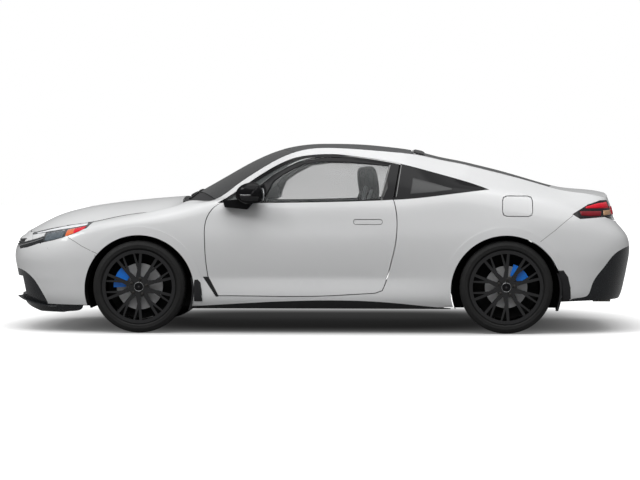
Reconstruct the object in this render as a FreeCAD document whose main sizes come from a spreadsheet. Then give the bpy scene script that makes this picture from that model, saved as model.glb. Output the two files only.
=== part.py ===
import FreeCAD, Part
import math
import os
import Sketcher

# Compact two-door hatchback coupe. Millimetres, nose towards -X, left side towards -Y, +Z up.
# Origin on the ground under the middle of the car.

doc = FreeCAD.newDocument("coupe")
sheet = doc.addObject("Spreadsheet::Sheet", "sizes")

SIZES = {
    # Whole car
    "car_length": 4531, "body_width": 1880, "car_height": 1356, "wheelbase": 2605, "front_overhang": 1012,
    "front_track": 1624, "rear_track": 1614,
    # Shell
    "skin": 6, "outer_wall": 60, "deep_wall": 18, "sill_wall": 105, "bumper_wall": 12, "edge_trim": 1,
    "rear_wall": 30, "shut_gap": 6, "seat_gap": 0.3,
    "frame_depth": 100, "frame_wall": 35, "overrun": 400,
    "hood_wall": 28, "roof_wall": 30, "hatch_wall": 34, "glass": 5, "glass_inset": 3, "glass_edge": 35,
    "door_flange": 28, "door_wall": 94, "door_step": 66, "sash_depth": 22, "fender_wall": 8,
    "arch_radius": 392, "arch_height": 306, "liner_radius": 380, "liner_wall": 6, "flare_width": 58,
    "flare_rise": 5,
    # Floor and bulkhead
    "floor_height": 172, "floor_wall": 28, "cabin_half_width": 800, "apron_half_width": 520,
    "panel_wall": 12, "cowl_wall": 12, "tunnel_width": 260, "tunnel_height": 110,
    "fuel_depth": 40, "flap_wall": 5, "groove": 3, "slot_half_width": 600, "lamp_depth": 20, "skirt_wall": 40,
    "hatch_lower_half_width": 590, "bar_wall": 6,
    # Wheels
    "tyre_radius": 331, "tyre_width": 235, "bead_radius": 246, "rim_radius": 262, "rim_width": 228,
    "rim_wall": 9, "flange_wall": 6, "hub_radius": 74, "cap_radius": 32, "hub_bore": 30, "hub_depth": 44,
    "hub_recess": 12, "spoke_depth": 26, "spoke_face": 106, "disc_inset": 28, "disc_wall": 24,
    "front_disc_radius": 165, "rear_disc_radius": 150, "caliper_gap": 4, "caliper_wall": 16,
    "caliper_lip": 20,
    "caliper_turn": 27,
    # Axles
    "steer_inset": 22, "subframe_half": 330, "ball_drop": 140, "ball_rise": 115, "ball_pin": 24,
    "arm_radius": 16, "strut_middle": 600, "strut_radius": 26, "strut_top": 684, "knuckle_radius": 24,
    "hub_carrier": 46, "carrier_half": 720, "pipe_radius": 30, "silencer_half": 420,
    "engine_length": 620, "engine_width": 900, "engine_height": 480,
    # Cabin
    "seat_middle": 370, "seat_half_width": 250, "bench_half_width": 560, "dash_half_width": 610,
    "console_half_width": 110, "steering_radius": 175, "steering_rim": 14, "column_radius": 40,
    "column_length": 300, "mirror_inner": 905, "mirror_outer": 1030, "mirror_foot": 836,
    "flap_outer": 905, "flap_inner": 378, "liner_reach": 806, "rear_inner": 640, "luggage_floor": 400,
}
for row, (name, value) in enumerate(SIZES.items(), start=1):
    sheet.set("A%d" % row, name)
    sheet.set("B%d" % row, str(value))
    sheet.setAlias("B%d" % row, name)
doc.recompute()


def size(name):
    return float(sheet.get(name))


LENGTH = size("car_length")
HEIGHT = size("car_height")
HALF_WIDTH = size("body_width") / 2
WHEELBASE = size("wheelbase")
FRONT_AXLE = size("front_overhang") - LENGTH / 2
REAR_AXLE = FRONT_AXLE + WHEELBASE
GAP = size("shut_gap")
FAR = size("overrun")
Vec = FreeCAD.Vector


def station(share):
    """Place along the car: 0 nose, 1 front axle, 2 rear axle, 3 tail."""
    if share < 1:
        return share * size("front_overhang") - LENGTH / 2
    if share < 2:
        return FRONT_AXLE + (share - 1) * WHEELBASE
    return REAR_AXLE + (share - 2) * (LENGTH / 2 - REAR_AXLE)


def side_view(shares):
    return [(station(along), up * HEIGHT) for along, up in shares]


def smooth_line(knots):
    """Natural cubic through (place, value) knots, straight beyond its ends."""
    places = [knot[0] for knot in knots]
    values = [knot[1] for knot in knots]
    count = len(knots)
    steps = [places[i + 1] - places[i] for i in range(count - 1)]
    slopes = [(values[i + 1] - values[i]) / steps[i] for i in range(count - 1)]
    bends = [0.0] * count
    upper = [0.0] * count
    for i in range(1, count - 1):
        pivot = 2 * (steps[i - 1] + steps[i]) - steps[i - 1] * upper[i - 1]
        upper[i] = steps[i] / pivot
        bends[i] = (6 * (slopes[i] - slopes[i - 1]) - steps[i - 1] * bends[i - 1]) / pivot
    for i in range(count - 2, 0, -1):
        bends[i] -= upper[i] * bends[i + 1]

    def value_at(place):
        i = 0
        while i < count - 2 and place > places[i + 1]:
            i += 1
        step = steps[i]
        after = place - places[i]
        before = places[i + 1] - place
        slope_in = slopes[i] - step * (2 * bends[i] + bends[i + 1]) / 6
        slope_out = slopes[i] + step * (bends[i] + 2 * bends[i + 1]) / 6
        if after < 0:
            return values[i] + slope_in * after
        if before < 0:
            return values[i + 1] - slope_out * before
        curve = (bends[i] * before ** 3 + bends[i + 1] * after ** 3) / (6 * step)
        left = (values[i] / step - bends[i] * step / 6) * before
        right = (values[i + 1] / step - bends[i + 1] * step / 6) * after
        return curve + left + right

    return value_at


# Side surface: rows from the sill's bottom edge up to the roof rail, each a half width and a height
# along the car, closed over nose and tail by a rounded plan curve.
ROW_SHARES = [
    {"nose": (0.0795, 0.1475), "tail": (2.9229, 0.1755), "round": (2.7, 3.6),
     "shape": [(0.3612, 0.9234, 0.1475), (0.7564, 0.9404, 0.1445), (1.0002, 0.9468, 0.1416),
               (1.1549, 0.9234, 0.1372), (1.366, 0.9128, 0.1364),
               (1.558, 0.9128, 0.1364), (1.7499, 0.9213, 0.1364), (1.9035, 0.9404, 0.1416),
               (2.0005, 0.9447, 0.1475), (2.3266, 0.9277, 0.1637), (2.7095, 0.9043, 0.174)]},
    {"nose": (0.0499, 0.2028), "tail": (2.9458, 0.2212), "round": (2.8, 3.8),
     "shape": [(0.3612, 0.9426, 0.2006), (0.7564, 0.9628, 0.1976), (1.0002, 0.9745, 0.1954),
               (1.1549, 0.9553, 0.1954), (1.366, 0.9489, 0.1954),
               (1.558, 0.9489, 0.1954), (1.7499, 0.9574, 0.1954), (1.9035, 0.9702, 0.1976),
               (2.0005, 0.9745, 0.2006), (2.3266, 0.9553, 0.2094), (2.7095, 0.9234, 0.2198)]},
    {"nose": (0.0331, 0.2891), "tail": (2.9699, 0.3024), "round": (2.9, 4.0),
     "shape": [(0.3612, 0.9532, 0.2861), (0.7564, 0.9766, 0.2861), (1.0002, 0.9915, 0.2861),
               (1.1549, 0.9553, 0.2876), (1.366, 0.9362, 0.2891),
               (1.558, 0.9362, 0.2891), (1.7499, 0.9511, 0.2891), (1.9035, 0.9809, 0.2913),
               (2.0005, 0.9915, 0.2935), (2.3266, 0.9723, 0.2965), (2.7095, 0.9404, 0.3009)]},
    {"nose": (0.0094, 0.3872), "tail": (2.994, 0.3982), "round": (2.9, 4.2),
     "shape": [(0.3612, 0.9574, 0.3835), (0.7564, 0.9851, 0.3894), (1.0002, 1.0, 0.3945),
               (1.1549, 0.9723, 0.3945), (1.366, 0.9564, 0.3945),
               (1.558, 0.9574, 0.3945), (1.7499, 0.9681, 0.3968), (1.9035, 0.9915, 0.3982),
               (2.0005, 1.0, 0.4019), (2.3266, 0.9851, 0.4019), (2.7095, 0.9532, 0.3997)]},
    {"nose": (0.0272, 0.4631), "tail": (2.9809, 0.5015), "round": (2.9, 4.2),
     "shape": [(0.3612, 0.9362, 0.4631), (0.7564, 0.9787, 0.4794), (1.0002, 0.9979, 0.4926),
               (1.1549, 0.9755, 0.4941), (1.366, 0.9606, 0.4956),
               (1.558, 0.9628, 0.4971), (1.7499, 0.9723, 0.5), (1.9035, 0.9915, 0.5029),
               (2.0005, 0.9979, 0.5088), (2.3266, 0.983, 0.5088), (2.7095, 0.9447, 0.5059)]},
    {"nose": (0.0568, 0.4956), "tail": (2.89, 0.5796), "round": (3.1, 4.4),
     "shape": [(0.2327, 0.8745, 0.4926), (0.3612, 0.8915, 0.5029), (0.5588, 0.9277, 0.5251),
               (0.7564, 0.9574, 0.5494), (1.0002, 0.9809, 0.5737), (1.1549, 0.9574, 0.5789),
               (1.366, 0.9426, 0.5811),
               (1.558, 0.9447, 0.5841), (1.7499, 0.9553, 0.59), (1.9035, 0.9702, 0.5959),
               (2.0005, 0.9766, 0.601), (2.3266, 0.9617, 0.5959), (2.7095, 0.9128, 0.587)]},
    {"nose": (0.0924, 0.5118), "tail": (2.8539, 0.6431), "round": (3.4, 5.0),
     "shape": [(0.2327, 0.8319, 0.5088), (0.3612, 0.8479, 0.5192), (0.5588, 0.8851, 0.5442),
               (0.7564, 0.917, 0.576), (1.0002, 0.9404, 0.6062), (1.1357, 0.9213, 0.649),
               (1.2159, 0.9064, 0.6792),
               (1.366, 0.9074, 0.6829), (1.558, 0.9106, 0.6888), (1.7115, 0.9117, 0.6984),
               (1.8113, 0.9128, 0.7198), (1.9035, 0.9149, 0.7301),
               (2.0005, 0.917, 0.7139), (2.3266, 0.9021, 0.6829), (2.7095, 0.8511, 0.649)]},
    {"nose": (0.1141, 0.5265), "tail": (2.8255, 0.6969), "round": (3.7, 5.6),
     "shape": [(0.2327, 0.7979, 0.5177), (0.3612, 0.8064, 0.5295), (0.5588, 0.8298, 0.5583),
               (0.7564, 0.8511, 0.59), (1.0002, 0.8702, 0.6239), (1.1357, 0.8245, 0.6785),
               (1.2159, 0.8245, 0.7006),
               (1.3184, 0.8106, 0.7706), (1.4459, 0.7915, 0.8274), (1.558, 0.7894, 0.8348),
               (1.7115, 0.7894, 0.8274), (1.8113, 0.7915, 0.8171),
               (1.9035, 0.7957, 0.7979), (2.0005, 0.8021, 0.7743), (2.3266, 0.8106, 0.7301),
               (2.7095, 0.8, 0.6895)]},
]
EDGE_HALF_WIDTH_SHARES = [(0.1339, 0.7617), (0.3612, 0.7638), (0.6784, 0.7702), (0.9541, 0.7723),
                          (1.0589, 0.7617), (1.1196, 0.7213), (1.2013, 0.734), (1.257, 0.7106),
                          (1.3184, 0.6809), (1.3929, 0.6511), (1.4812, 0.6383), (1.6155, 0.634),
                          (1.7499, 0.6362), (1.8651, 0.6404), (1.9802, 0.6511), (2.285, 0.6809),
                          (2.4907, 0.7064), (2.7095, 0.7213)]
EDGE_END_SHARES = (0.1339, 2.8124)
EDGE_NOSE, EDGE_TAIL = [station(share) for share in EDGE_END_SHARES]
EDGE_ROUND = (4.0, 7.0)
FAN_SHARES = (0.7564, 2.3266)
FAN_FRONT, FAN_REAR = [station(share) for share in FAN_SHARES]

# Centre line of the upper surface and how far each side edge drops below it.
HOOD_LINE_SHARES = [(0.1339, 0.542), (0.1784, 0.5605), (0.2238, 0.5789), (0.3137, 0.6106), (0.4037, 0.6327),
                    (0.4936, 0.649), (0.5825, 0.6615), (0.6724, 0.6718), (0.8513, 0.6881), (1.0117, 0.7013),
                    (1.0812, 0.7117), (1.1196, 0.7168)]
CABIN_LINE_SHARES = [(1.1196, 0.719), (1.1503, 0.7537), (1.2198, 0.8304), (1.2889, 0.9041), (1.3234, 0.9351),
                     (1.358, 0.9609), (1.3929, 0.9794), (1.4271, 0.9912), (1.4612, 0.9978), (1.5131, 1.0),
                     (1.5645, 0.9985), (1.6163, 0.9934), (1.6678, 0.9838), (1.7192, 0.972), (1.7729, 0.9521),
                     (1.8225, 0.9277), (1.8735, 0.9086), (1.925, 0.8857), (1.9764, 0.8614), (2.0793, 0.8341),
                     (2.2259, 0.8046), (2.3714, 0.7765), (2.4688, 0.7625), (2.6154, 0.7529), (2.7609, 0.7419),
                     (2.8124, 0.7345)]
HOOD_DROP_SHARES = [(0.1339, 0.0737), (0.2278, 0.0782), (0.46, 0.0855), (0.6784, 0.0885), (0.8276, 0.0782),
                    (0.9471, 0.0723), (1.0282, 0.0723), (1.067, 0.0678), (1.0962, 0.0472), (1.1196, 0.0221)]
CABIN_DROP_SHARES = [(1.1196, 0.0236), (1.1549, 0.0664), (1.2013, 0.1106), (1.257, 0.1003), (1.3184, 0.0796),
                     (1.3929, 0.0487), (1.4459, 0.0324), (1.5169, 0.0265), (1.5779, 0.0295), (1.6939, 0.028),
                     (1.7756, 0.0221), (1.8678, 0.0192), (1.9614, 0.0206), (2.1209, 0.0177), (2.285, 0.0162),
                     (2.4688, 0.0177), (2.6154, 0.0206), (2.7609, 0.0324), (2.8124, 0.0369)]

hood_line = smooth_line(side_view(HOOD_LINE_SHARES))
cabin_line = smooth_line(side_view(CABIN_LINE_SHARES))
hood_drop = smooth_line(side_view(HOOD_DROP_SHARES))
cabin_drop = smooth_line(side_view(CABIN_DROP_SHARES))
COWL_SHARE = 1.1196
COWL = station(COWL_SHARE)


def line_and_drop(along):
    if along < COWL:
        return hood_line(along), hood_drop(along)
    return cabin_line(along), cabin_drop(along)


edge_half_width = smooth_line([(station(a), w * HALF_WIDTH) for a, w in EDGE_HALF_WIDTH_SHARES])


def top_height(along, across):
    """Height of the upper surface, a parabola from the centre line down to the side edge."""
    centre, drop = line_and_drop(along)
    return centre - drop * (across / edge_half_width(along)) ** 2


class Row:
    def __init__(self, shares):
        shape = [(station(a), w * HALF_WIDTH, h * HEIGHT) for a, w, h in shares["shape"]]
        nose = (station(shares["nose"][0]), shares["nose"][1] * HEIGHT)
        tail = (station(shares["tail"][0]), shares["tail"][1] * HEIGHT)
        self.nose = nose[0]
        self.tail = tail[0]
        self.powers = shares["round"]
        self.half_width = smooth_line([(x, y) for x, y, z in shape])
        self.height = smooth_line([nose] + [(x, z) for x, y, z in shape] + [tail])


class EdgeRow:
    def __init__(self):
        self.nose = EDGE_NOSE
        self.tail = EDGE_TAIL
        self.powers = EDGE_ROUND
        self.half_width = edge_half_width


ROWS = [Row(shares) for shares in ROW_SHARES] + [EdgeRow()]
TOP_ROW = len(ROWS) - 1
CREASE_ROW = 2
LEVEL_STEP = 0.25


def plan_round(turn, power):
    """Unit superellipse at a polar angle given in quarter turns from its tip."""
    angle = turn * math.pi / 2
    along = abs(math.cos(angle))
    across = abs(math.sin(angle))
    reach = (along ** power + across ** power) ** (-1 / power)
    return reach * math.cos(angle), reach * math.sin(angle)


def row_point(row, turn):
    """Point of a row: 0 to 1 round the nose, 1 to 2 along the side, 2 to 3 round the tail."""
    if turn < 1:
        ahead, out = plan_round(turn, row.powers[0])
        x = FAN_FRONT - (FAN_FRONT - row.nose) * ahead
    elif turn > 2:
        behind, out = plan_round(3 - turn, row.powers[1])
        x = FAN_REAR + (row.tail - FAN_REAR) * behind
    else:
        out = 1
        x = FAN_FRONT + (turn - 1) * (FAN_REAR - FAN_FRONT)
    y = row.half_width(x) * out
    if isinstance(row, EdgeRow):
        return Vec(x, -y, top_height(x, y))
    return Vec(x, -y, row.height(x))


def side_turn(along):
    """Turn value of a place on the straight stretch between the two rounded ends."""
    return 1 + (along - FAN_FRONT) / (FAN_REAR - FAN_FRONT)


section_cache = {}


def side_section(turn, creased):
    """Upright section: smooth through the rows, or straight on both sides of the crease row."""
    points = [(i, row_point(row, turn)) for i, row in enumerate(ROWS)]
    if creased:
        below, crease, above = [points[CREASE_ROW + i][1] for i in (-1, 0, 1)]
        points.append((CREASE_ROW - LEVEL_STEP, crease + (below - crease) * LEVEL_STEP))
        points.append((CREASE_ROW + LEVEL_STEP, crease + (above - crease) * LEVEL_STEP))
    points.sort(key=lambda item: item[0])
    return [smooth_line([(level, point[k]) for level, point in points]) for k in range(3)]


def side_point(turn, level, creased=True):
    """Point of the left side surface, level 0 at the sill and TOP_ROW at the upper edge."""
    if (turn, creased) not in section_cache:
        section_cache[turn, creased] = side_section(turn, creased)
    return Vec(*[line(level) for line in section_cache[turn, creased]])


NUDGE = 0.01


def side_normal(turn, level, creased=True):
    """Outward unit normal of the left side surface."""
    along = side_point(turn + NUDGE, level, creased) - side_point(turn - NUDGE, level, creased)
    upward = side_point(turn, level + NUDGE, creased) - side_point(turn, level - NUDGE, creased)
    normal = along.cross(upward)
    return normal.normalize()


def spread(first, last, count):
    return [first + (last - first) * i / (count - 1) for i in range(count)]


def surface_through(grid):
    surface = Part.BSplineSurface()
    surface.interpolate(grid)
    return surface


def skin_solid(outer_grid, inner_grid):
    """Closed solid between two point grids of the same size."""
    outer = surface_through(outer_grid)
    inner = surface_through(inner_grid)
    faces = [outer.toShape(), inner.toShape()]
    for end in (0, 1):
        faces.append(Part.makeRuledSurface(*[s.uIso(s.bounds()[end]).toShape() for s in (outer, inner)]))
        faces.append(Part.makeRuledSurface(*[s.vIso(s.bounds()[2 + end]).toShape() for s in (outer, inner)]))
    shell = Part.Shell(faces)
    shell.sewShape()
    solid = Part.Solid(shell)
    if solid.Volume < 0:
        solid.reverse()
    return solid


def side_skin(turns, levels, near, far):
    """Left side panel between two depths under the side surface.

    turns is (first, last, count), levels (first, last).

    Faces that lie deep in the body leave the crease out.
    """
    grids = []
    rows = spread(*levels, round((levels[1] - levels[0]) / LEVEL_STEP) + 1)
    for depth in (near, far):
        creased = not callable(depth) and depth < size("deep_wall")
        depth_at = depth if callable(depth) else lambda turn, level, depth=depth: depth
        grids.append([[side_point(u, v, creased) - side_normal(u, v, creased) * depth_at(u, v) for v in rows]
                      for u in spread(*turns)])
    return skin_solid(*grids)


def eased(value, low, high):
    """Smooth step from 0 to 1 between two values."""
    share = min(1, max(0, (value - low) / (high - low)))
    return share * share * (3 - 2 * share)


def wall_depth(turn, level):
    """Body side wall: deep at the sill, thinner from the belt up and thin round the tail."""
    depth = size("sill_wall") + (size("outer_wall") - size("sill_wall")) * eased(level, 4.5, 6.5)
    return depth + (size("rear_wall") - depth) * eased(turn, 1.85, 2.1)


def top_point(along, share, margin):
    across = share * (edge_half_width(along) + margin)
    return Vec(along, across, top_height(along, across))


def top_normal(along, share, margin):
    ahead = top_point(along + GAP, share, margin) - top_point(along - GAP, share, margin)
    aside = top_point(along, share + NUDGE, margin) - top_point(along, share - NUDGE, margin)
    return ahead.cross(aside).normalize()


def top_skin(first, last, count, near, far, margin):
    """Upper panel across the whole car between two depths under the upper surface."""
    grids = []
    for depth in (near, far):
        grid = [[top_point(x, b, margin) - top_normal(x, b, margin) * depth for b in spread(-1, 1, 17)]
                for x in spread(first, last, count)]
        grids.append(grid)
    return skin_solid(*grids)


def span_edges(spans, place):
    """Edges through lists of points, each list a straight line or a smooth curve, closed in order."""
    edges = []
    for i, span in enumerate(spans):
        points = [place(*p) for p in span]
        if len(points) == 2:
            edges.append(Part.makeLine(*points))
        elif len(points) > 2:
            curve = Part.BSplineCurve()
            curve.interpolate(points)
            edges.append(curve.toShape())
        follower = place(*spans[(i + 1) % len(spans)][0])
        if (follower - points[-1]).Length > NUDGE:
            edges.append(Part.makeLine(points[-1], follower))
    return edges


def face_of(spans, place):
    return Part.Face(Part.Wire(Part.__sortEdges__(span_edges(spans, place))))


def grown(spans, grow):
    """The same outline with every point moved outward by a distance, mitred at its corners."""
    loop = []
    places = []
    for span in spans:
        indices = []
        for point in span:
            if not loop or math.dist(loop[-1], point) > NUDGE:
                loop.append(point)
            indices.append(len(loop) - 1)
        places.append(indices)
    if math.dist(loop[-1], loop[0]) < NUDGE:
        places[-1][-1] = 0
        loop.pop()
    count = len(loop)
    area = sum(loop[i - 1][0] * loop[i][1] - loop[i][0] * loop[i - 1][1] for i in range(count))
    outward = grow if area > 0 else -grow
    moved = []
    for i in range(count):
        normals = []
        for start, end in ((loop[i - 1], loop[i]), (loop[i], loop[(i + 1) % count])):
            run = math.dist(start, end)
            normals.append(((end[1] - start[1]) / run, (start[0] - end[0]) / run))
        (a, b), (c, d) = normals
        stretch = outward / (1 + a * c + b * d)
        moved.append((loop[i][0] + (a + c) * stretch, loop[i][1] + (b + d) * stretch))
    return [[moved[i] for i in indices] for indices in places]


def side_face(spans, grow=0):
    return face_of(grown(spans, grow) if grow else spans, lambda x, z: Vec(x, -FAR - HALF_WIDTH, z))


def side_prism(spans, grow=0, reach=None):
    """Prism of a side-view outline through the left half, or the whole car where reach is given."""
    length = FAR + HALF_WIDTH if reach is None else reach
    return side_face(spans, grow).extrude(Vec(0, length, 0))


WHOLE = 2 * (FAR + HALF_WIDTH)


def plan_prism(spans):
    """Vertical prism of an outline seen from above."""
    return face_of(spans, lambda x, y: Vec(x, y, -FAR)).extrude(Vec(0, 0, HEIGHT + 2 * FAR))


def mirrored(shape):
    return shape.mirror(Vec(0, 0, 0), Vec(0, 1, 0))


def both_sides(shape):
    return Part.makeCompound([shape, mirrored(shape)])


def biggest(shape):
    return max(shape.Solids, key=lambda solid: solid.Volume)


nodes = []


def add_piece(label, shape):
    """Free-form piece as a document object."""
    piece = doc.addObject("Part::Feature", label)
    piece.Label = label
    piece.Shape = shape
    piece.Placement = FreeCAD.Placement()
    nodes.append(piece)
    return piece


def box(x, y, z):
    """Block between pairs of places along each axis."""
    return Part.makeBox(x[1] - x[0], y[1] - y[0], z[1] - z[0], Vec(x[0], y[0], z[0]))


def rod(start, end, radius):
    line = Vec(*end) - Vec(*start)
    return Part.makeCylinder(radius, line.Length, Vec(*start), line)


def flare(axle, turns):
    """Raised band round the left arch, standing a little proud of the side surface."""
    band = side_skin(turns, FLARE_LEVELS, -size("flare_rise"), size("flare_rise"))
    inside = wheel_arch(axle, size("arch_radius") - GAP)
    return band.common(wheel_arch(axle, size("arch_radius") + size("flare_width"))).cut(inside)


def wheel_arch(axle, radius):
    return Part.makeCylinder(radius, WHOLE, Vec(axle, -WHOLE / 2, size("arch_height")), Vec(0, 1, 0))


# Outlines seen from the side, as spans of points.
DOOR_FRONT_SHARES = [(1.2232, 0.6829), (1.196, 0.646), (1.1814, 0.5907), (1.1783, 0.4919), (1.1814, 0.3813),
                     (1.1868, 0.2987)]
DOOR_BOTTOM_SHARES = [(1.2155, 0.194), (1.3104, 0.1932), (1.5219, 0.1954), (1.5818, 0.2021), (1.6447, 0.2094)]
DOOR_REAR_SHARES = [(1.6647, 0.2235), (1.6762, 0.2788), (1.6877, 0.3614), (1.6988, 0.4491), (1.7046, 0.5369),
                    (1.7046, 0.6025), (1.7008, 0.6578), (1.695, 0.6991)]
BELT_SHARES = [(1.695, 0.6991), (1.5211, 0.6873), (1.4393, 0.6844), (1.3353, 0.6822), (1.2136, 0.6829)]
DOOR_TOP_SHARES = [(1.695, 0.6991), (1.5211, 0.6873), (1.4393, 0.6844), (1.3353, 0.6822), (1.2232, 0.6829)]
BELT_REAR_SHARES = [(1.9545, 0.7529), (1.8674, 0.733), (1.8102, 0.719), (1.753, 0.7065), (1.695, 0.6991)]
WINDOW_TOP_SHARES = [(1.2136, 0.6829), (1.2973, 0.792), (1.3845, 0.8938), (1.4217, 0.9211), (1.4743, 0.9366),
                     (1.5184, 0.9403), (1.5791, 0.9307), (1.7123, 0.8886), (1.8106, 0.8392), (1.9257, 0.7736),
                     (1.9545, 0.7529)]
FENDER_SEAM_SHARES = [(0.4906, 0.5), (0.5657, 0.4705), (0.6892, 0.4174)]
HEADLAMP_SHARES = [(0.1932, 0.5162), (0.2525, 0.5546), (0.6784, 0.5988), (0.622, 0.5479), (0.5361, 0.5214),
                   (0.459, 0.5015), (0.3918, 0.4867), (0.2851, 0.469), (0.2228, 0.4808)]
NOSE_BLACK_SHARES = [(0.3355, 0.1445), (0.3295, 0.1586), (0.2821, 0.2227), (0.2386, 0.2684), (0.1902, 0.3001),
                     (-0.0341, 0.3083)]
TAIL_LAMP_SHARES = [(2.5082, 0.6246), (2.6329, 0.674), (2.7369, 0.6962), (2.9065, 0.6991), (2.9065, 0.6195),
                    (2.7653, 0.6091), (2.5706, 0.5996)]
TAIL_BLACK_SHARES = [(2.4907, 0.1106), (2.517, 0.1844), (2.6275, 0.2013), (2.6625, 0.2574), (2.7588, 0.3518),
                     (2.8353, 0.413), (2.9108, 0.4425), (3.0925, 0.4425)]
SKIRT_SHARES = [(1.1357, 0.1401), (1.1775, 0.1445), (1.3468, 0.1637), (1.5219, 0.1733), (1.6731, 0.1637),
                (1.8098, 0.1386), (1.8497, 0.1327)]
FUEL_SHARES = [(1.9883, 0.6386), (1.9914, 0.6202), (2.0027, 0.6121), (2.1679, 0.6114), (2.1953, 0.618),
               (2.2051, 0.6357), (2.204, 0.6962), (2.1942, 0.7139), (2.1668, 0.7212), (2.0049, 0.722),
               (1.9917, 0.7146), (1.9883, 0.6962)]
VENT_SHARES = [(1.1741, 0.2965), (1.1906, 0.2965), (1.2194, 0.1917), (1.2102, 0.1903)]
SLOT_SHARES = [(-0.1329, 0.4299), (-0.1329, 0.472), (0.2535, 0.4971), (0.2436, 0.4631)]
CHIN_SHARES = [(-0.0341, 0.1718), (0.0212, 0.1718), (0.1299, 0.1357), (0.2357, 0.1099), (0.3829, 0.0959),
               (0.4995, 0.1106), (0.5924, 0.1298), (0.5983, 0.1445)]
INTAKE_SLAT_SHARES = [0.208, 0.2434]
INTAKE_BARS = 7
GRILLE_SLAT_SHARES = [0.4395, 0.4528, 0.4661, 0.4794]
GRILLE_BACK_SHARE = 0.6
GRILLE_BAR_SHARES = (0.1, 0.8)
REAR_BUMPER_ZONE_SHARES = [(2.2237, 0.4794), (2.0531, 0.1106), (3.2566, 0.1106), (3.2566, 0.5826),
                           (2.8736, 0.5826), (2.7653, 0.6091), (2.5706, 0.5996), (2.5082, 0.6246),
                           (2.3704, 0.5531)]
HANDLE_SHARES = [(1.5948, 0.5701), (1.6574, 0.5708), (1.6624, 0.5745), (1.6647, 0.5833), (1.6628, 0.5922),
                 (1.6578, 0.5973), (1.5952, 0.5966), (1.5902, 0.5929), (1.5875, 0.5833), (1.5898, 0.5737)]
DOOR_GLASS_SHARES = [(1.2355, 0.6947), (1.3038, 0.7802), (1.3891, 0.8791), (1.4236, 0.9056), (1.4743, 0.9218),
                     (1.5184, 0.9255), (1.5791, 0.9159), (1.6808, 0.885)]
DOOR_GLASS_FOOT_SHARES = [(1.6585, 0.7043), (1.5211, 0.6932), (1.3353, 0.6873), (1.2355, 0.6866)]
MIRROR_SHARES = [(1.2666, 0.708), (1.2739, 0.6785), (1.3008, 0.6792), (1.3372, 0.6969), (1.3388, 0.7375),
                 (1.3276, 0.7832), (1.3046, 0.7898), (1.2777, 0.767), (1.2666, 0.708)]
MIRROR_BULGE_SHARES = (1.0, 0.5, 0.66)
MIRROR_FOOT_SHARES = [(1.2355, 0.6608), (1.2969, 0.649), (1.32, 0.7006), (1.2662, 0.7006), (1.2309, 0.6962)]
SEAT_SHARES = [(1.4198, 0.2212), (1.4044, 0.295), (1.4121, 0.3319), (1.5503, 0.3245), (1.5925, 0.7448),
               (1.6079, 0.7965), (1.6347, 0.7891), (1.6328, 0.7227), (1.6079, 0.472), (1.5964, 0.3097),
               (1.5848, 0.2212)]
HEADREST_SHARES = [(1.604, 0.7817), (1.6098, 0.8702), (1.6271, 0.8813), (1.6443, 0.8702), (1.6424, 0.7817)]
SEAT_RAIL_SHARE = 0.7
BENCH_SHARES = [(1.6962, 0.2286), (1.6962, 0.3466), (1.8228, 0.3355), (1.8651, 0.59), (1.8958, 0.6637),
                (1.9073, 0.649), (1.8593, 0.3245), (1.8209, 0.3245), (1.8209, 0.2286)]
DASH_SHARES = [(1.1443, 0.413), (1.1443, 0.6563), (1.1894, 0.6895), (1.2432, 0.6858), (1.2739, 0.649),
               (1.2777, 0.5752), (1.2432, 0.472), (1.2125, 0.413)]

# Corners of the regions that part one panel from the next, seen from the side.
BODY_REGION_SHARES = [(1.1998, 0.7094), (1.2163, 0.677), (1.2509, 0.6342), (1.2355, 0.2212), (1.2155, 0.194),
                      (1.2298, 0.1445), (1.2317, -0.2212), (3.4754, -0.2212), (3.4754, 1.3274),
                      (1.1998, 1.3274)]
POST_REGION_SHARES = [(1.1445, 0.1586), (1.1445, 0.472), (1.1695, 0.472), (1.1695, 0.6195), (1.1971, 0.6674),
                      (1.2509, 0.6674), (1.2509, 0.1586)]
FENDER_REGION_SHARES = [(0.7564, 0.2212), (1.0002, -0.2212), (1.2317, -0.2212), (1.2298, 0.1445),
                        (1.2155, 0.194), (1.2509, 0.3687), (1.2509, 0.6268), (1.2163, 0.677),
                        (1.1998, 0.7094), (1.1894, 0.9587), (0.4906, 0.9587)]
BUMPER_TOP_SHARES = [(-0.1329, 0.9587), (0.4906, 0.9587)]
BUMPER_FOOT_SHARES = [(0.6892, 0.1445), (0.3355, 0.1445)]
CHIN_FRONT_SHARES = [(-0.1329, 0.2212)]
TAIL_FOOT_SHARES = [(3.0925, -0.2212), (2.4907, -0.2212)]
SKIRT_FOOT_SHARES = [(1.8497, 0.1283), (1.1357, 0.1283)]
SKIRT_BELOW_SHARES = [(1.8497, -0.2212), (1.1357, -0.2212)]
WINDOW_FRONT_SHARES = [(1.1357, 0.59), (1.1357, 1.1062), (1.7115, 1.1062), (1.7115, 0.8886), (1.695, 0.6991),
                       (1.695, 0.59)]
QUARTER_REGION_SHARES = [(1.7123, 0.8886), (1.7123, 1.1062), (2.0531, 1.1062), (2.0531, 0.59), (1.6958, 0.59),
                         (1.6958, 0.6991)]
BELOW_BELT_SHARES = [(1.1357, 0.5162), (1.7499, 0.5162)]

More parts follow.
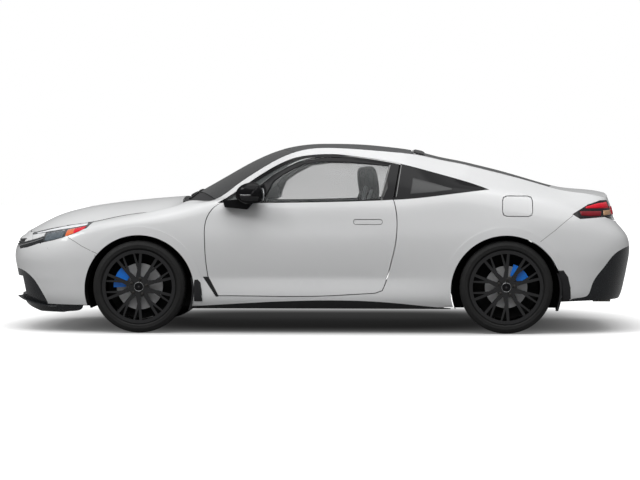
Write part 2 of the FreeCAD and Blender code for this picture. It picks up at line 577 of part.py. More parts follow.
# Stations where the panels begin and end; pairs for an edge give its side and its middle.
HOOD_SPAN_SHARES = (0.045, 1.1173)
HOOD_REAR_SHARES = (1.1119, 1.0973)
HOOD_ZONE_SHARES = (0.045, 1.1203)
HOOD_ZONE_REAR_SHARES = (1.1142, 1.0996)
HATCH_SPAN_SHARES = (1.7345, 2.8299)
HATCH_FRONT_SHARES = (1.7488, 1.7418)
HATCH_ZONE_SHARES = (1.7269, 2.8518)
HATCH_ZONE_FRONT_SHARES = (1.7464, 1.7395)
HATCH_LOWER_SHARE = 2.5454
HATCH_FOOT_SHARE = 0.59
HATCH_BED_SPAN_SHARES = (1.7345, 2.4907)
HATCH_BED_SIDE_SHARES = (1.7768, 2.3813)
HATCH_BED_MIDDLE_SHARES = (1.7699, 2.3879)
HATCH_OPENING_SIDE_SHARES = (1.796, 2.3156)
HATCH_OPENING_MIDDLE_SHARES = (1.7906, 2.3156)
HATCH_GLASS_SPAN_SHARES = (1.7499, 2.4469)
HATCH_GLASS_SIDE_SHARES = (1.7772, 2.3802)
HATCH_GLASS_MIDDLE_SHARES = (1.7702, 2.3868)
ROOF_SPAN_SHARES = (1.366, 1.7576)
ROOF_SIDE_SHARES = (1.424, 1.7461)
ROOF_MIDDLE_SHARES = (1.3756, 1.7392)
ROOF_ZONE_SHARES = (1.3622, 1.7614)
ROOF_ZONE_SIDE_SHARES = (1.424, 1.7488)
ROOF_ZONE_MIDDLE_SHARES = (1.3756, 1.7418)
SCREEN_SPAN_SHARES = (1.1219, 1.4351)
SCREEN_SIDE_SHARES = (1.2033, 1.4236)
SCREEN_MIDDLE_SHARES = (1.1338, 1.3752)
SCREEN_ZONE_SHARES = (1.105, 1.439)
SCREEN_ZONE_SIDE_SHARES = (1.1818, 1.4255)
SCREEN_ZONE_MIDDLE_SHARES = (1.1127, 1.3772)
COWL_SPAN_SHARES = (1.0935, 1.2163)
COWL_SIDE_SHARES = (1.1173, 1.2071)
COWL_MIDDLE_SHARES = (1.1012, 1.1384)
BODY_FRONT_SHARE = 1.0935
POST_REAR_SHARE = 1.2893
FUEL_STRETCH_SHARES = (1.961, 2.2719)
VENT_STRETCH_SHARES = (1.1357, 1.2509)
DOOR_STRETCH_SHARES = (1.1472, 1.7384)
HANDLE_STRETCH_SHARES = (1.5503, 1.7038)
WINDOW_STRETCH_SHARES = (1.1664, 1.7576)
QUARTER_STRETCH_SHARES = (1.6731, 1.9917)
SKIRT_STRETCH_SHARES = (1.1357, 1.8497)
MIRROR_STRETCH_SHARES = (1.1971, 1.3814)
FRONT_FLARE_SHARES = (0.4995, 1.1894)
REAR_FLARE_SHARES = (1.8075, 2.5454)
FLOOR_SPAN_SHARES = (1.1395, 1.8267)
FLOOR_ZONE_SHARES = (1.1392, 1.8317)
BAY_FRONT_SHARE = 0.2722
LUGGAGE_REAR_SHARE = 2.7533
CONSOLE_SPAN_SHARES = (1.1511, 1.6424)
BENCH_FOOT_SPAN_SHARES = (1.7038, 1.819)
PIPE_BEND_SHARES = (1.1664, 1.8075, 1.9035, 2.4907)
PIPE_TIP_SHARES = (2.7095, 2.8463)
SILENCER_SPAN_SHARES = (2.4798, 2.7205)
STEERING_HUB_SHARES = (1.3545, 0.5826)
MIRROR_MIDDLE_SHARES = (1.3123, 0.733)

# Heights as shares of the car's height.
BULKHEAD_SIDE_SHARE = 0.6342
BULKHEAD_TOP_SHARE = 0.6718
APRON_TOP_SHARE = 0.5088
NOSE_PANEL_TOP_SHARE = 0.4425
TAIL_PANEL_SHARES = (0.2212, 0.5162)
CONSOLE_TOP_SHARE = 0.4425
BENCH_FOOT_TOP_SHARE = 0.2434
PIPE_HIGH_SHARE = 0.2434
INTAKE_MOUTH_SHARES = (0.1807, 0.2891)
INTAKE_BAR_SHARES = (0.177, 0.2935)
FLAP_FOOT_SHARE = 0.1209
FRONT_FLAP_TOP_SHARE = 0.2891
REAR_FLAP_TOP_SHARE = 0.3171
LAMP_BAR_SHARES = (0.6209, 0.0413)

# Grids of panels that run round the nose or the tail: first and last turn, and how many lines between.
NOSE_TURNS = (-1.0, 1.0, 61)
CHIN_TURNS = (-0.9, 0.9, 57)
GRILLE_TURNS = (-0.75, 0.75, 41)
HEADLAMP_TURNS = (0.3, 1.05, 30)
FENDER_TURNS = (0.62, 1.27, 26)
TAIL_TURNS = (1.9, 4.1, 61)
DIFFUSER_TURNS = (2.1, 3.9, 55)
HATCH_TURNS = (2.3, 3.7, 45)
LAMP_BAR_TURNS = (2.3, 3.7, 41)
TAIL_LAMP_TURNS = (2.0, 2.95, 30)
BODY_REAR_TURN = 2.62

# Rows of the side surface between which a panel lies.
POST_LEVELS = (0.4, 6.4)
FUEL_LEVELS = (5, 7.5)
DOOR_LEVELS = (0.5, 6.5)
DOOR_LAP_SHARE = 0.7
HANDLE_LEVELS = (5, 6.5)
SKIRT_LEVELS = (-0.25, 1.25)
FLARE_LEVELS = (0.25, 6.5)
VENT_LEVELS = (1, 4)
CHIN_LEVELS = (-1, 4)
INTAKE_LEVELS = (0.25, 3)
GRILLE_LEVELS = (3, 6.5)
DIFFUSER_LEVELS = (0, 4.5)

door_spans = [side_view(DOOR_FRONT_SHARES), side_view(DOOR_BOTTOM_SHARES), side_view(DOOR_REAR_SHARES),
              side_view(DOOR_TOP_SHARES)]
window_spans = [side_view(WINDOW_TOP_SHARES), side_view(BELT_REAR_SHARES), side_view(BELT_SHARES)]


def lifted(line, rise):
    return [(x, z + rise) for x, z in line]


# The door panel reaches up to the belt, and the window frame down to it.
sink = size("seat_gap") - GAP
door_panel_spans = [lifted(door_spans[0][:1], GAP) + door_spans[0][1:], door_spans[1],
                    door_spans[2][:-1] + lifted(door_spans[2][-1:], GAP), lifted(door_spans[3], GAP)]
frame_spans = [lifted(window_spans[0][:1], sink) + window_spans[0][1:],
               window_spans[1][:-1] + lifted(window_spans[1][-1:], sink), lifted(window_spans[2], sink)]
lamp_spans = [[p] for p in side_view(HEADLAMP_SHARES)]
tail_lamp_spans = [[p] for p in side_view(TAIL_LAMP_SHARES)]

ABOVE = HEIGHT + FAR


def turns_between(shares, count):
    """Turns of a panel between two stations of the straight stretch, with the number of its grid lines."""
    return side_turn(station(shares[0])), side_turn(station(shares[1])), count


FRONT_FLARE_TURNS = turns_between(FRONT_FLARE_SHARES, 22)
REAR_FLARE_TURNS = turns_between(REAR_FLARE_SHARES, 22)

door_opening = side_prism(door_spans)
window_opening = side_prism(window_spans)
front_arch = wheel_arch(FRONT_AXLE, size("arch_radius"))
rear_arch = wheel_arch(REAR_AXLE, size("arch_radius"))
headlamp_zone = side_prism(lamp_spans)
tail_lamp_zone = side_prism(tail_lamp_spans)
vent_spans = [[p] for p in side_view(VENT_SHARES)]
vent_zone = side_prism(vent_spans)


def flat(*points):
    """Straight-sided outline, one span per corner."""
    return [[p] for p in side_view(points)]


skirt_cut = side_prism([side_view(SKIRT_SHARES)] + flat(*SKIRT_BELOW_SHARES))


def edge_outline(first, last, count, inset):
    """Plan points a little inside the upper edge of the left side surface."""
    points = []
    for turn in spread(first, last, count):
        here = side_point(turn, TOP_ROW)
        run = side_point(turn + NUDGE, TOP_ROW) - side_point(turn - NUDGE, TOP_ROW)
        run.z = 0
        run.normalize()
        points.append((here.x - run.y * inset, here.y + run.x * inset))
    return points


def other_side(points):
    return [(x, -y) for x, y in reversed(points)]


def along_edge(shares, count, inset):
    """Plan points inside the upper edge between two stations of the straight stretch."""
    return edge_outline(*turns_between(shares, count), inset)


def lid_outline(side, middle_shares):
    """Closed plan outline from one side's points and the middle of its bowed front and rear edges."""
    front, rear = [station(share) for share in middle_shares]
    far_side = other_side(side)
    return [side, [side[-1], (rear, 0), far_side[0]], far_side, [far_side[-1], (front, 0), side[0]]]


def under_top(shares, count, near, far, outline):
    """Layer between two stations and two depths under the upper surface, inside a plan outline."""
    first, last = [station(share) for share in shares]
    return top_skin(first, last, count, near, far, 2 * GAP).common(plan_prism(outline))


NOSE_TURN = 0
TAIL_TURN = 3
LID_EDGE_POINTS = 40


def hood_outline(inset, rear_shares):
    side = edge_outline(NOSE_TURN, side_turn(station(rear_shares[0])), LID_EDGE_POINTS, inset)
    far_side = other_side(side)
    return [far_side[:-1] + side, [side[-1], (station(rear_shares[1]), 0), far_side[0]]]


def hatch_lid_outline(inset, front_shares):
    side = edge_outline(side_turn(station(front_shares[0])), TAIL_TURN, LID_EDGE_POINTS, inset)
    far_side = other_side(side)
    return [side + far_side[1:], [far_side[-1], (station(front_shares[1]), 0), side[0]]]


def hood_zone():
    """Room kept free for the hood, its shut gap included."""
    outline = hood_outline(-size("edge_trim"), HOOD_ZONE_REAR_SHARES)
    return under_top(HOOD_ZONE_SHARES, 30, -4 * GAP, size("hood_wall") + GAP, outline)


def hatch_zone():
    """Room kept free for the tailgate, its shut gap included."""
    outline = hatch_lid_outline(-size("edge_trim"), HATCH_ZONE_FRONT_SHARES)
    upper = under_top(HATCH_ZONE_SHARES, 34, -4 * GAP, size("hatch_wall") + GAP, outline)
    half = size("hatch_lower_half_width") + GAP
    lower = Part.makeBox(LENGTH, 2 * half, HEIGHT, Vec(station(HATCH_LOWER_SHARE), -half,
                                                       HATCH_FOOT_SHARE * HEIGHT - GAP))
    return upper, lower


def roof_zone():
    side = along_edge(ROOF_ZONE_SIDE_SHARES, 16, -size("edge_trim"))
    outline = lid_outline(side, ROOF_ZONE_MIDDLE_SHARES)
    return under_top(ROOF_ZONE_SHARES, 22, -4 * GAP, size("roof_wall") + size("seat_gap"), outline)


def glass_zone():
    side = along_edge(SCREEN_ZONE_SIDE_SHARES, 14, -size("edge_trim"))
    outline = lid_outline(side, SCREEN_ZONE_MIDDLE_SHARES)
    return under_top(SCREEN_ZONE_SHARES, 24, -4 * GAP, size("edge_trim") + size("glass") + size("seat_gap"),
                     outline)


def outer_body():
    """Left body side: sill, pillars, roof rail and rear quarter in one pressed wall."""
    first = side_turn(station(BODY_FRONT_SHARE))
    wall = side_skin((first, BODY_REAR_TURN, 44), (0, TOP_ROW), 0, wall_depth)
    region = flat(*BODY_REGION_SHARES)
    outer = wall.fuse(flare(REAR_AXLE, REAR_FLARE_TURNS)).common(side_prism(region))
    outer = outer.cut(door_opening).cut(window_opening)
    post_zone = side_prism(flat(*POST_REGION_SHARES))
    post = side_skin((first, side_turn(station(POST_REAR_SHARE)), 12), POST_LEVELS,
                     size("fender_wall") + size("seat_gap"), size("frame_depth") + size("frame_wall") / 2)
    post = post.common(post_zone).cut(side_prism(door_spans, 2 * GAP))
    body = outer.fuse(post)
    bumper_zone = side_prism([[p] for p in side_view(REAR_BUMPER_ZONE_SHARES)])
    low = size("floor_height")
    half = size("cabin_half_width") + size("seat_gap")
    floor_zone = box([station(share) for share in FLOOR_ZONE_SHARES], (-half, half),
                     (0, low + size("floor_wall") + size("seat_gap")))
    rear = station(FLOOR_SPAN_SHARES[1])
    step_zone = box((rear - size("seat_gap"), rear + size("panel_wall") + size("seat_gap")), (-half, half),
                    (0, size("luggage_floor")))
    for tool in (front_arch, rear_arch, bumper_zone, tail_lamp_zone, skirt_cut, floor_zone, step_zone,
                 *hatch_zone(), roof_zone(), glass_zone()):
        body = body.cut(tool)
    return biggest(body)


def fuel_pocket():
    depth = size("fuel_depth")
    pocket = side_skin(turns_between(FUEL_STRETCH_SHARES, 10), FUEL_LEVELS, -GAP, depth)
    return pocket.common(side_prism([[p] for p in side_view(FUEL_SHARES)]))


def fuel_flap():
    flap = side_skin(turns_between(FUEL_STRETCH_SHARES, 10), FUEL_LEVELS, 0, size("flap_wall"))
    return flap.common(side_prism([[p] for p in side_view(FUEL_SHARES)], -GAP))


def front_fender():
    skin = side_skin(FENDER_TURNS, (0, TOP_ROW), 0, size("fender_wall"))
    skin = skin.fuse(flare(FRONT_AXLE, FRONT_FLARE_TURNS))
    region = [side_view(FENDER_SEAM_SHARES)] + flat(*FENDER_REGION_SHARES)
    fender = skin.common(side_prism(region))
    for tool in (side_prism(door_spans), front_arch, headlamp_zone, skirt_cut, vent_zone, hood_zone(),
                 glass_zone()):
        fender = fender.cut(tool)
    return biggest(fender)


def fender_vent():
    """Black slanted vent between the fender and the door."""
    turns = turns_between(VENT_STRETCH_SHARES, 10)
    skin = side_skin(turns, VENT_LEVELS, -size("edge_trim"), size("fender_wall"))
    return biggest(skin.common(side_prism(vent_spans, -size("seat_gap"))).cut(door_opening))


def front_bumper():
    skin = side_skin(NOSE_TURNS, (0, TOP_ROW), 0, size("bumper_wall"))
    side_flare = flare(FRONT_AXLE, FRONT_FLARE_TURNS)
    seam = side_view(FENDER_SEAM_SHARES)
    region = [side_view(NOSE_BLACK_SHARES)] + flat(*BUMPER_TOP_SHARES) + [seam] + flat(*BUMPER_FOOT_SHARES)
    bumper = skin.fuse([side_flare, mirrored(side_flare)]).common(side_prism(region, 0, WHOLE))
    for tool in (front_arch, headlamp_zone, mirrored(headlamp_zone), slot_zone(), hood_zone()):
        bumper = bumper.cut(tool)
    return biggest(bumper)


def slot_zone():
    reach = size("slot_half_width")
    face = face_of([[p] for p in side_view(SLOT_SHARES)], lambda x, z: Vec(x, -reach, z))
    return face.extrude(Vec(0, 2 * reach, 0))


def front_lower():
    """Black lower nose: chin lip, intake frame with its slats, and the grille in the upper slot."""
    skin = side_skin(CHIN_TURNS, CHIN_LEVELS, 0, size("bumper_wall"))
    region = [side_view(NOSE_BLACK_SHARES)] + flat(*CHIN_FRONT_SHARES) + [side_view(CHIN_SHARES)]
    lower = biggest(skin.common(side_prism(region, 0, WHOLE)))
    half = size("slot_half_width")
    mouth = box((-LENGTH, 0), (-half, half), [share * HEIGHT for share in INTAKE_MOUTH_SHARES])
    slats = [box((-LENGTH, 0), (-half - GAP, half + GAP), (z * HEIGHT, z * HEIGHT + size("panel_wall")))
             for z in INTAKE_SLAT_SHARES]
    slats += [box((-LENGTH, 0), (y - GAP, y + GAP), [share * HEIGHT for share in INTAKE_BAR_SHARES])
              for y in spread(-half, half, INTAKE_BARS + 2)[1:-1]]
    inner = side_skin(CHIN_TURNS, INTAKE_LEVELS, GAP / 2, size("bumper_wall"))
    bars = Part.makeCompound(slats).common(inner)
    return lower.cut(mouth).fuse(bars.Solids)


def upper_grille():
    """Grille bars in the slot under the hood, on a backing behind them."""
    half = size("slot_half_width") - size("seat_gap")
    back = side_skin(GRILLE_TURNS, GRILLE_LEVELS, size("bumper_wall") * GRILLE_BACK_SHARE,
                     size("bumper_wall"))
    depths = [size("bumper_wall") * share for share in GRILLE_BAR_SHARES]
    bars = side_skin(GRILLE_TURNS, GRILLE_LEVELS, *depths)
    face = face_of([[p] for p in side_view(SLOT_SHARES)], lambda x, z: Vec(x, -half, z))
    zone = face.extrude(Vec(0, 2 * half, 0))
    slats = [box((-LENGTH, 0), (-LENGTH, LENGTH), (z * HEIGHT, z * HEIGHT + size("panel_wall") / 2))
             for z in GRILLE_SLAT_SHARES]
    return back.fuse([bars.common(slat) for slat in slats]).common(zone)


def headlamp():
    skin = side_skin(HEADLAMP_TURNS, (3, TOP_ROW), 0, size("lamp_depth"))
    return biggest(skin.common(side_prism(lamp_spans, -size("seat_gap"))).cut(hood_zone()))


def rear_bumper():
    skin = side_skin(TAIL_TURNS, (0, TOP_ROW), 0, size("bumper_wall"))
    zone = side_prism([[p] for p in side_view(REAR_BUMPER_ZONE_SHARES)], 0, WHOLE)
    black = [side_view(TAIL_BLACK_SHARES)] + flat(*TAIL_FOOT_SHARES)
    side_flare = flare(REAR_AXLE, REAR_FLARE_TURNS)
    bumper = skin.fuse([side_flare, mirrored(side_flare)]).common(zone).cut(side_prism(black, 0,
                                                                                       WHOLE)).cut(rear_arch)
    for tool in hatch_zone():
        bumper = bumper.cut(tool)
    return biggest(bumper)


def rear_lower():
    skin = side_skin(DIFFUSER_TURNS, DIFFUSER_LEVELS, 0, size("bumper_wall"))
    black = [side_view(TAIL_BLACK_SHARES)] + flat(*TAIL_FOOT_SHARES)
    return biggest(skin.common(side_prism(black, 0, WHOLE)))


def tail_lamp():
    skin = side_skin(TAIL_LAMP_TURNS, (DIFFUSER_LEVELS[1], TOP_ROW), 0, size("lamp_depth"))
    lamp = skin.common(side_prism(tail_lamp_spans, -size("seat_gap")))
    for tool in hatch_zone():
        lamp = lamp.cut(tool)
    return biggest(lamp)


def hood():
    outline = hood_outline(GAP - size("edge_trim"), HOOD_REAR_SHARES)
    return biggest(under_top(HOOD_SPAN_SHARES, 30, 0, size("hood_wall"), outline))


def windshield():
    side = along_edge(SCREEN_SIDE_SHARES, 12, size("seat_gap") - size("edge_trim"))
    outline = lid_outline(side, SCREEN_MIDDLE_SHARES)
    return biggest(under_top(SCREEN_SPAN_SHARES, 22, size("edge_trim"), size("edge_trim") + size("glass"),
                             outline))


def roof_panel():
    side = along_edge(ROOF_SIDE_SHARES, 16, size("seat_gap") - size("edge_trim"))
    outline = lid_outline(side, ROOF_MIDDLE_SHARES)
    return biggest(under_top(ROOF_SPAN_SHARES, 22, 0, size("roof_wall"), outline))


def tailgate():
    outline = hatch_lid_outline(GAP - size("edge_trim"), HATCH_FRONT_SHARES)
    panel = under_top(HATCH_SPAN_SHARES, 34, 0, size("hatch_wall"), outline)
    lower = side_skin(HATCH_TURNS, (DIFFUSER_LEVELS[1], TOP_ROW), 0, size("hatch_wall"))
    half = size("hatch_lower_half_width")
    slab = Part.makeBox(LENGTH, 2 * half, HEIGHT, Vec(0, -half, HATCH_FOOT_SHARE * HEIGHT))
    lower = lower.common(slab)
    bed_side = along_edge(HATCH_BED_SIDE_SHARES, 30, size("glass_edge") - size("edge_trim"))
    bed = lid_outline(bed_side, HATCH_BED_MIDDLE_SHARES)
    depth = size("edge_trim") + size("glass") + size("seat_gap")
    bed = under_top(HATCH_BED_SPAN_SHARES, 28, -GAP, depth, bed)
    opening_side = along_edge(HATCH_OPENING_SIDE_SHARES, 30, 2 * size("glass_edge"))
    opening = lid_outline(opening_side, HATCH_OPENING_MIDDLE_SHARES)
    return biggest(panel.fuse(lower).cut(bed).cut(plan_prism(opening)))


def tailgate_glass():
    outline = lid_outline(along_edge(HATCH_GLASS_SIDE_SHARES, 30, size("glass_edge")),
                          HATCH_GLASS_MIDDLE_SHARES)
    trim = size("edge_trim")
    return biggest(under_top(HATCH_GLASS_SPAN_SHARES, 28, trim, trim + size("glass"), outline))


def door():
    """Left door: outer panel with its flange, and the thick inner panel set in from its edges."""
    turns = turns_between(DOOR_STRETCH_SHARES, 26)
    outer = side_skin(turns, DOOR_LEVELS, 0, size("door_flange")).common(side_prism(door_panel_spans, -GAP))
    inner = side_skin(turns, DOOR_LEVELS, size("door_flange") * DOOR_LAP_SHARE, size("door_wall"))
    panel = outer.fuse(inner.common(side_prism(door_spans, -size("door_step"))))
    return biggest(panel.cut(handle_groove()))


def handle_groove():
    """Thin groove round the flush door handle."""
    outline = [[p] for p in side_view(HANDLE_SHARES)]
    ring = side_prism(outline).cut(side_prism(outline, -size("groove")))
    turns = turns_between(HANDLE_STRETCH_SHARES, 10)
    return side_skin(turns, HANDLE_LEVELS, -GAP, size("groove")).common(ring)


window_front = flat(*WINDOW_FRONT_SHARES)
door_glass_spans = [side_view(DOOR_GLASS_SHARES), side_view(DOOR_GLASS_FOOT_SHARES)]
SASH_LEVELS = (5.75, TOP_ROW)
QUARTER_LEVELS = (5.5, TOP_ROW)


def door_frame():
    """Black frame around the door's window."""
    skin = side_skin(turns_between(WINDOW_STRETCH_SHARES, 24), SASH_LEVELS, 0, size("sash_depth"))
    frame = skin.common(side_prism(frame_spans, -GAP)).common(side_prism(window_front, -GAP))
    return biggest(frame.cut(side_prism(door_glass_spans)))


def door_glass():
    inset = size("glass_inset")
    skin = side_skin(turns_between(WINDOW_STRETCH_SHARES, 24), SASH_LEVELS, inset, inset + size("glass"))
    return biggest(skin.common(side_prism(door_glass_spans, -size("seat_gap"))))


def quarter_window():
    """Fixed rear side glass with its black border, to the pillar behind the door."""
    skin = side_skin(turns_between(QUARTER_STRETCH_SHARES, 20), QUARTER_LEVELS, 0, size("sash_depth"))
    zone = flat(*QUARTER_REGION_SHARES)
    return biggest(skin.common(side_prism(window_spans, -size("seat_gap"))).common(side_prism(zone)))


def skirt():
    skin = side_skin(turns_between(SKIRT_STRETCH_SHARES, 26), SKIRT_LEVELS, 0, size("skirt_wall"))
    region = [side_view(SKIRT_SHARES)] + flat(*SKIRT_FOOT_SHARES)
    strip = skin.common(side_prism(region))
    return biggest(strip.cut(front_arch).cut(rear_arch))


def value_of(formula):
    return float(sheet.evalExpression(formula))


def plane_of(body, role):
    return [item for item in body.Origin.OriginFeatures if item.Role == role][0]


def bound_sketch(body, role, corners, name):
    """Closed sketch whose corner coordinates are formulas of the sizes."""
    sketch = body.newObject("Sketcher::SketchObject", name)
    sketch.AttachmentSupport = [(plane_of(body, role), "")]
    sketch.MapMode = "FlatFace"
    places = [(value_of(a), value_of(b)) for a, b in corners]
    count = len(corners)
    for i in range(count):
        sketch.addGeometry(Part.LineSegment(Vec(*places[i], 0), Vec(*places[(i + 1) % count], 0)), False)
    for i in range(count):
        sketch.addConstraint(Sketcher.Constraint("Coincident", i, 2, (i + 1) % count, 1))
    for i, (a, b) in enumerate(corners):
        for kind, formula, value in (("DistanceX", a, places[i][0]), ("DistanceY", b, places[i][1])):
            index = sketch.addConstraint(Sketcher.Constraint(kind, -1, 1, i, 1, value))
            sketch.setExpression("Constraints[%d]" % index, formula)
    doc.recompute()
    return sketch


def revolved_body(label, corners):
    """Body turned about its own Y axis from a half section of (radius, across) formulas."""
    body = doc.addObject("PartDesign::Body", label)
    body.Label = label
    sketch = bound_sketch(body, "XY_Plane", corners, "section")
    turn = body.newObject("PartDesign::Revolution", "turned")
    turn.Profile = sketch
    turn.ReferenceAxis = (sketch, ["V_Axis"])
    turn.Angle = 360
    doc.recompute()
    return body


def place_body(body, along, across, up, outward=1):
    """Places a body, turned half round where its outer side faces the left."""
    turn = FreeCAD.Rotation(Vec(0, 0, 1), 0 if outward > 0 else 180)
    body.Placement = FreeCAD.Placement(Vec(0, 0, 0), turn)
    for axis, formula in (("x", along), ("y", across), ("z", up)):
        body.setExpression("Placement.Base." + axis, formula)
    nodes.append(body)
    return body


FRONT_ALONG = "sizes.front_overhang - sizes.car_length / 2"
REAR_ALONG = FRONT_ALONG + " + sizes.wheelbase"
WHEELS = (
    ("front_left", FRONT_ALONG, "-sizes.front_track / 2", -1, "sizes.front_disc_radius"),
    ("front_right", FRONT_ALONG, "sizes.front_track / 2", 1, "sizes.front_disc_radius"),
    ("rear_left", REAR_ALONG, "-sizes.rear_track / 2", -1, "sizes.rear_disc_radius"),
    ("rear_right", REAR_ALONG, "sizes.rear_track / 2", 1, "sizes.rear_disc_radius"),
)
BEAD = "sizes.rim_width / 2 - sizes.flange_wall"


def mirrored_section(half):
    return half + [(radius, "-(" + across + ")") for radius, across in reversed(half)]


TYRE_SECTION = mirrored_section([
    ("sizes.bead_radius + sizes.seat_gap", BEAD + " - sizes.seat_gap"),
    ("sizes.rim_radius + sizes.seat_gap", BEAD + " - sizes.seat_gap"),
    ("sizes.rim_radius + (sizes.tyre_radius - sizes.rim_radius) * 0.5", "sizes.tyre_width * 0.5"),
    ("sizes.rim_radius + (sizes.tyre_radius - sizes.rim_radius)", "sizes.tyre_width * 0.42"),
])
RIM_SECTION = [
    ("sizes.bead_radius", "-sizes.rim_width / 2"), ("sizes.bead_radius", BEAD), ("sizes.rim_radius", BEAD),
    ("sizes.rim_radius", "sizes.rim_width / 2"), ("sizes.bead_radius - sizes.rim_wall",
                                                  "sizes.rim_width / 2"),
    ("sizes.bead_radius - sizes.rim_wall", "-sizes.rim_width / 2"),
]
HUB_SECTION = [
    ("0", "sizes.spoke_face - sizes.hub_depth"), ("sizes.hub_radius", "sizes.spoke_face - sizes.hub_depth"),
    ("sizes.hub_radius", "sizes.spoke_face - sizes.hub_recess"), ("sizes.cap_radius", "sizes.spoke_face"),
    ("0", "sizes.spoke_face"),
]
# One of five V spokes as (share of the bead radius, degrees from its middle line) for one half, each arm
# with a thin branch to the rim.
SPOKE_HALF = [(0.10, 40), (0.985, 23.5), (0.985, 19), (0.64, 17), (0.985, 10.8), (0.985, 8.2), (0.50, 13),
              (0.29, 0)]


def spoke_corners():
    half = [(r * math.cos(math.radians(t)), r * math.sin(math.radians(t))) for r, t in SPOKE_HALF]
    return half + [(a, -b) for a, b in reversed(half[:-1])]


def rim(label):
    body = revolved_body(label, RIM_SECTION)
    hub = bound_sketch(body, "XY_Plane", HUB_SECTION, "hub_section")
    hub_turn = body.newObject("PartDesign::Revolution", "hub")
    hub_turn.Profile = hub
    hub_turn.ReferenceAxis = (hub, ["V_Axis"])
    hub_turn.Angle = 360
    corners = [("sizes.bead_radius * %s" % a, "sizes.bead_radius * %s" % b) for a, b in spoke_corners()]
    spokes = bound_sketch(body, "XZ_Plane", corners, "spokes")
    spokes.setExpression("AttachmentOffset.Base.z", "-sizes.spoke_face")
    pad = body.newObject("PartDesign::Pad", "spoke_pair")
    pad.Profile = spokes
    pad.setExpression("Length", "sizes.spoke_depth")
    doc.recompute()
    pattern = body.newObject("PartDesign::PolarPattern", "five_pairs")
    pattern.Originals = [pad]
    pattern.Axis = ([item for item in body.Origin.OriginFeatures if item.Role == "Y_Axis"][0], [""])
    pattern.Angle = 360
    pattern.Occurrences = 5
    body.Tip = pattern
    doc.recompute()
    return body


def disc_section(radius):
    inner = "sizes.disc_inset"
    return [("sizes.hub_bore", inner), (radius, inner), (radius, inner + " + sizes.disc_wall"),
            ("sizes.hub_bore", inner + " + sizes.disc_wall")]


for corner, along, across, outward, disc_radius in WHEELS:
    tyre = revolved_body("tyre_" + corner, TYRE_SECTION)
    place_body(tyre, along, across, "sizes.tyre_radius", outward)
    place_body(rim("rim_" + corner), along, across, "sizes.tyre_radius", outward)
    disc = revolved_body("disc_" + corner, disc_section(disc_radius))
    place_body(disc, along, across, "sizes.tyre_radius", outward)


def arm_slots(axle, reach):
    """Openings in the aprons and liners where the lower arms pass."""
    low = size("tyre_radius") - size("ball_drop")
    return box((axle - reach, axle + reach), (-WHOLE, WHOLE), (0, low + size("arm_radius") + GAP))


def floor_pan():
    """Floor, tunnel, bulkheads and side aprons in one welded pan, with room for the wheel liners."""
    low = size("floor_height")
    top = low + size("floor_wall")
    half = size("cabin_half_width")
    apron = size("apron_half_width")
    wall = size("panel_wall")
    front, rear = [station(share) for share in FLOOR_SPAN_SHARES]
    nose = station(BAY_FRONT_SHARE)
    tail = station(LUGGAGE_REAR_SHARE)
    luggage = size("luggage_floor")
    narrow = half - GAP * 12
    bay = half - GAP * 24
    parts = [box((front, rear), (-half, half), (low, top)),
             box((front, front + wall), (-half, half), (low, BULKHEAD_SIDE_SHARE * HEIGHT)),
             box((front, front + wall), (-bay, bay), (low, BULKHEAD_TOP_SHARE * HEIGHT)),
             box((nose, front), (-apron, -apron + wall), (low, APRON_TOP_SHARE * HEIGHT)),
             box((nose, front), (apron - wall, apron), (low, APRON_TOP_SHARE * HEIGHT)),
             box((nose, nose + wall), (-apron, apron), (low, NOSE_PANEL_TOP_SHARE * HEIGHT)),
             box((rear, rear + wall), (-half, half), (low, luggage + wall)),
             box((rear, tail), (-narrow, narrow), (luggage, luggage + wall)),
             box((tail - wall, tail), (-narrow, narrow), [share * HEIGHT for share in TAIL_PANEL_SHARES])]
    pan = parts[0].fuse(parts[1:])
    tunnel = size("tunnel_width") / 2
    rise = size("tunnel_height")
    hump = box((front, rear), (-tunnel - wall, tunnel + wall), (low, low + rise + wall))
    hollow = box((front - FAR, rear), (-tunnel, tunnel), (low - FAR, low + rise))
    pan = pan.fuse(hump).cut(hollow)
    for axle, inner in ((FRONT_AXLE, apron), (REAR_AXLE, size("rear_inner") - wall)):
        room = Part.makeCylinder(size("liner_radius") + size("liner_wall") + size("seat_gap"), WHOLE,
                                 Vec(axle, inner - size("seat_gap"), size("arch_height")), Vec(0, 1, 0))
        pan = pan.cut(room).cut(mirrored(room))
    for tool in (arm_slots(FRONT_AXLE, size("subframe_half") / 2),
                 arm_slots(REAR_AXLE, size("subframe_half") / 2), *exhaust_path(size("pipe_radius") + GAP)):
        pan = pan.cut(tool)
    return biggest(pan)


def wheel_liners():
    """Plastic liners over the four wheels; the rear ones are closed on their inner side."""
    low = size("floor_height")
    radius = size("liner_radius")
    wall = size("liner_wall")
    reach = size("liner_reach")
    liners = []
    for axle, inner in ((FRONT_AXLE, size("apron_half_width") + size("seat_gap")),
                        (REAR_AXLE, size("rear_inner"))):
        start = Vec(axle, inner, size("arch_height"))
        shell = Part.makeCylinder(radius + wall, reach - inner, start, Vec(0, 1, 0))
        shell = shell.cut(Part.makeCylinder(radius, reach - inner, start, Vec(0, 1, 0)))
        if axle == REAR_AXLE:
            shell = shell.fuse(Part.makeCylinder(radius + wall, size("panel_wall"),
                                                 start - Vec(0, size("panel_wall"), 0), Vec(0, 1, 0)))
        shell = shell.common(box((axle - WHEELBASE, axle + WHEELBASE), (0, WHOLE), (low, ABOVE)))
        liners.append(shell.cut(arm_slots(axle, size("subframe_half") / 2)))
    return both_sides(Part.makeCompound(liners))


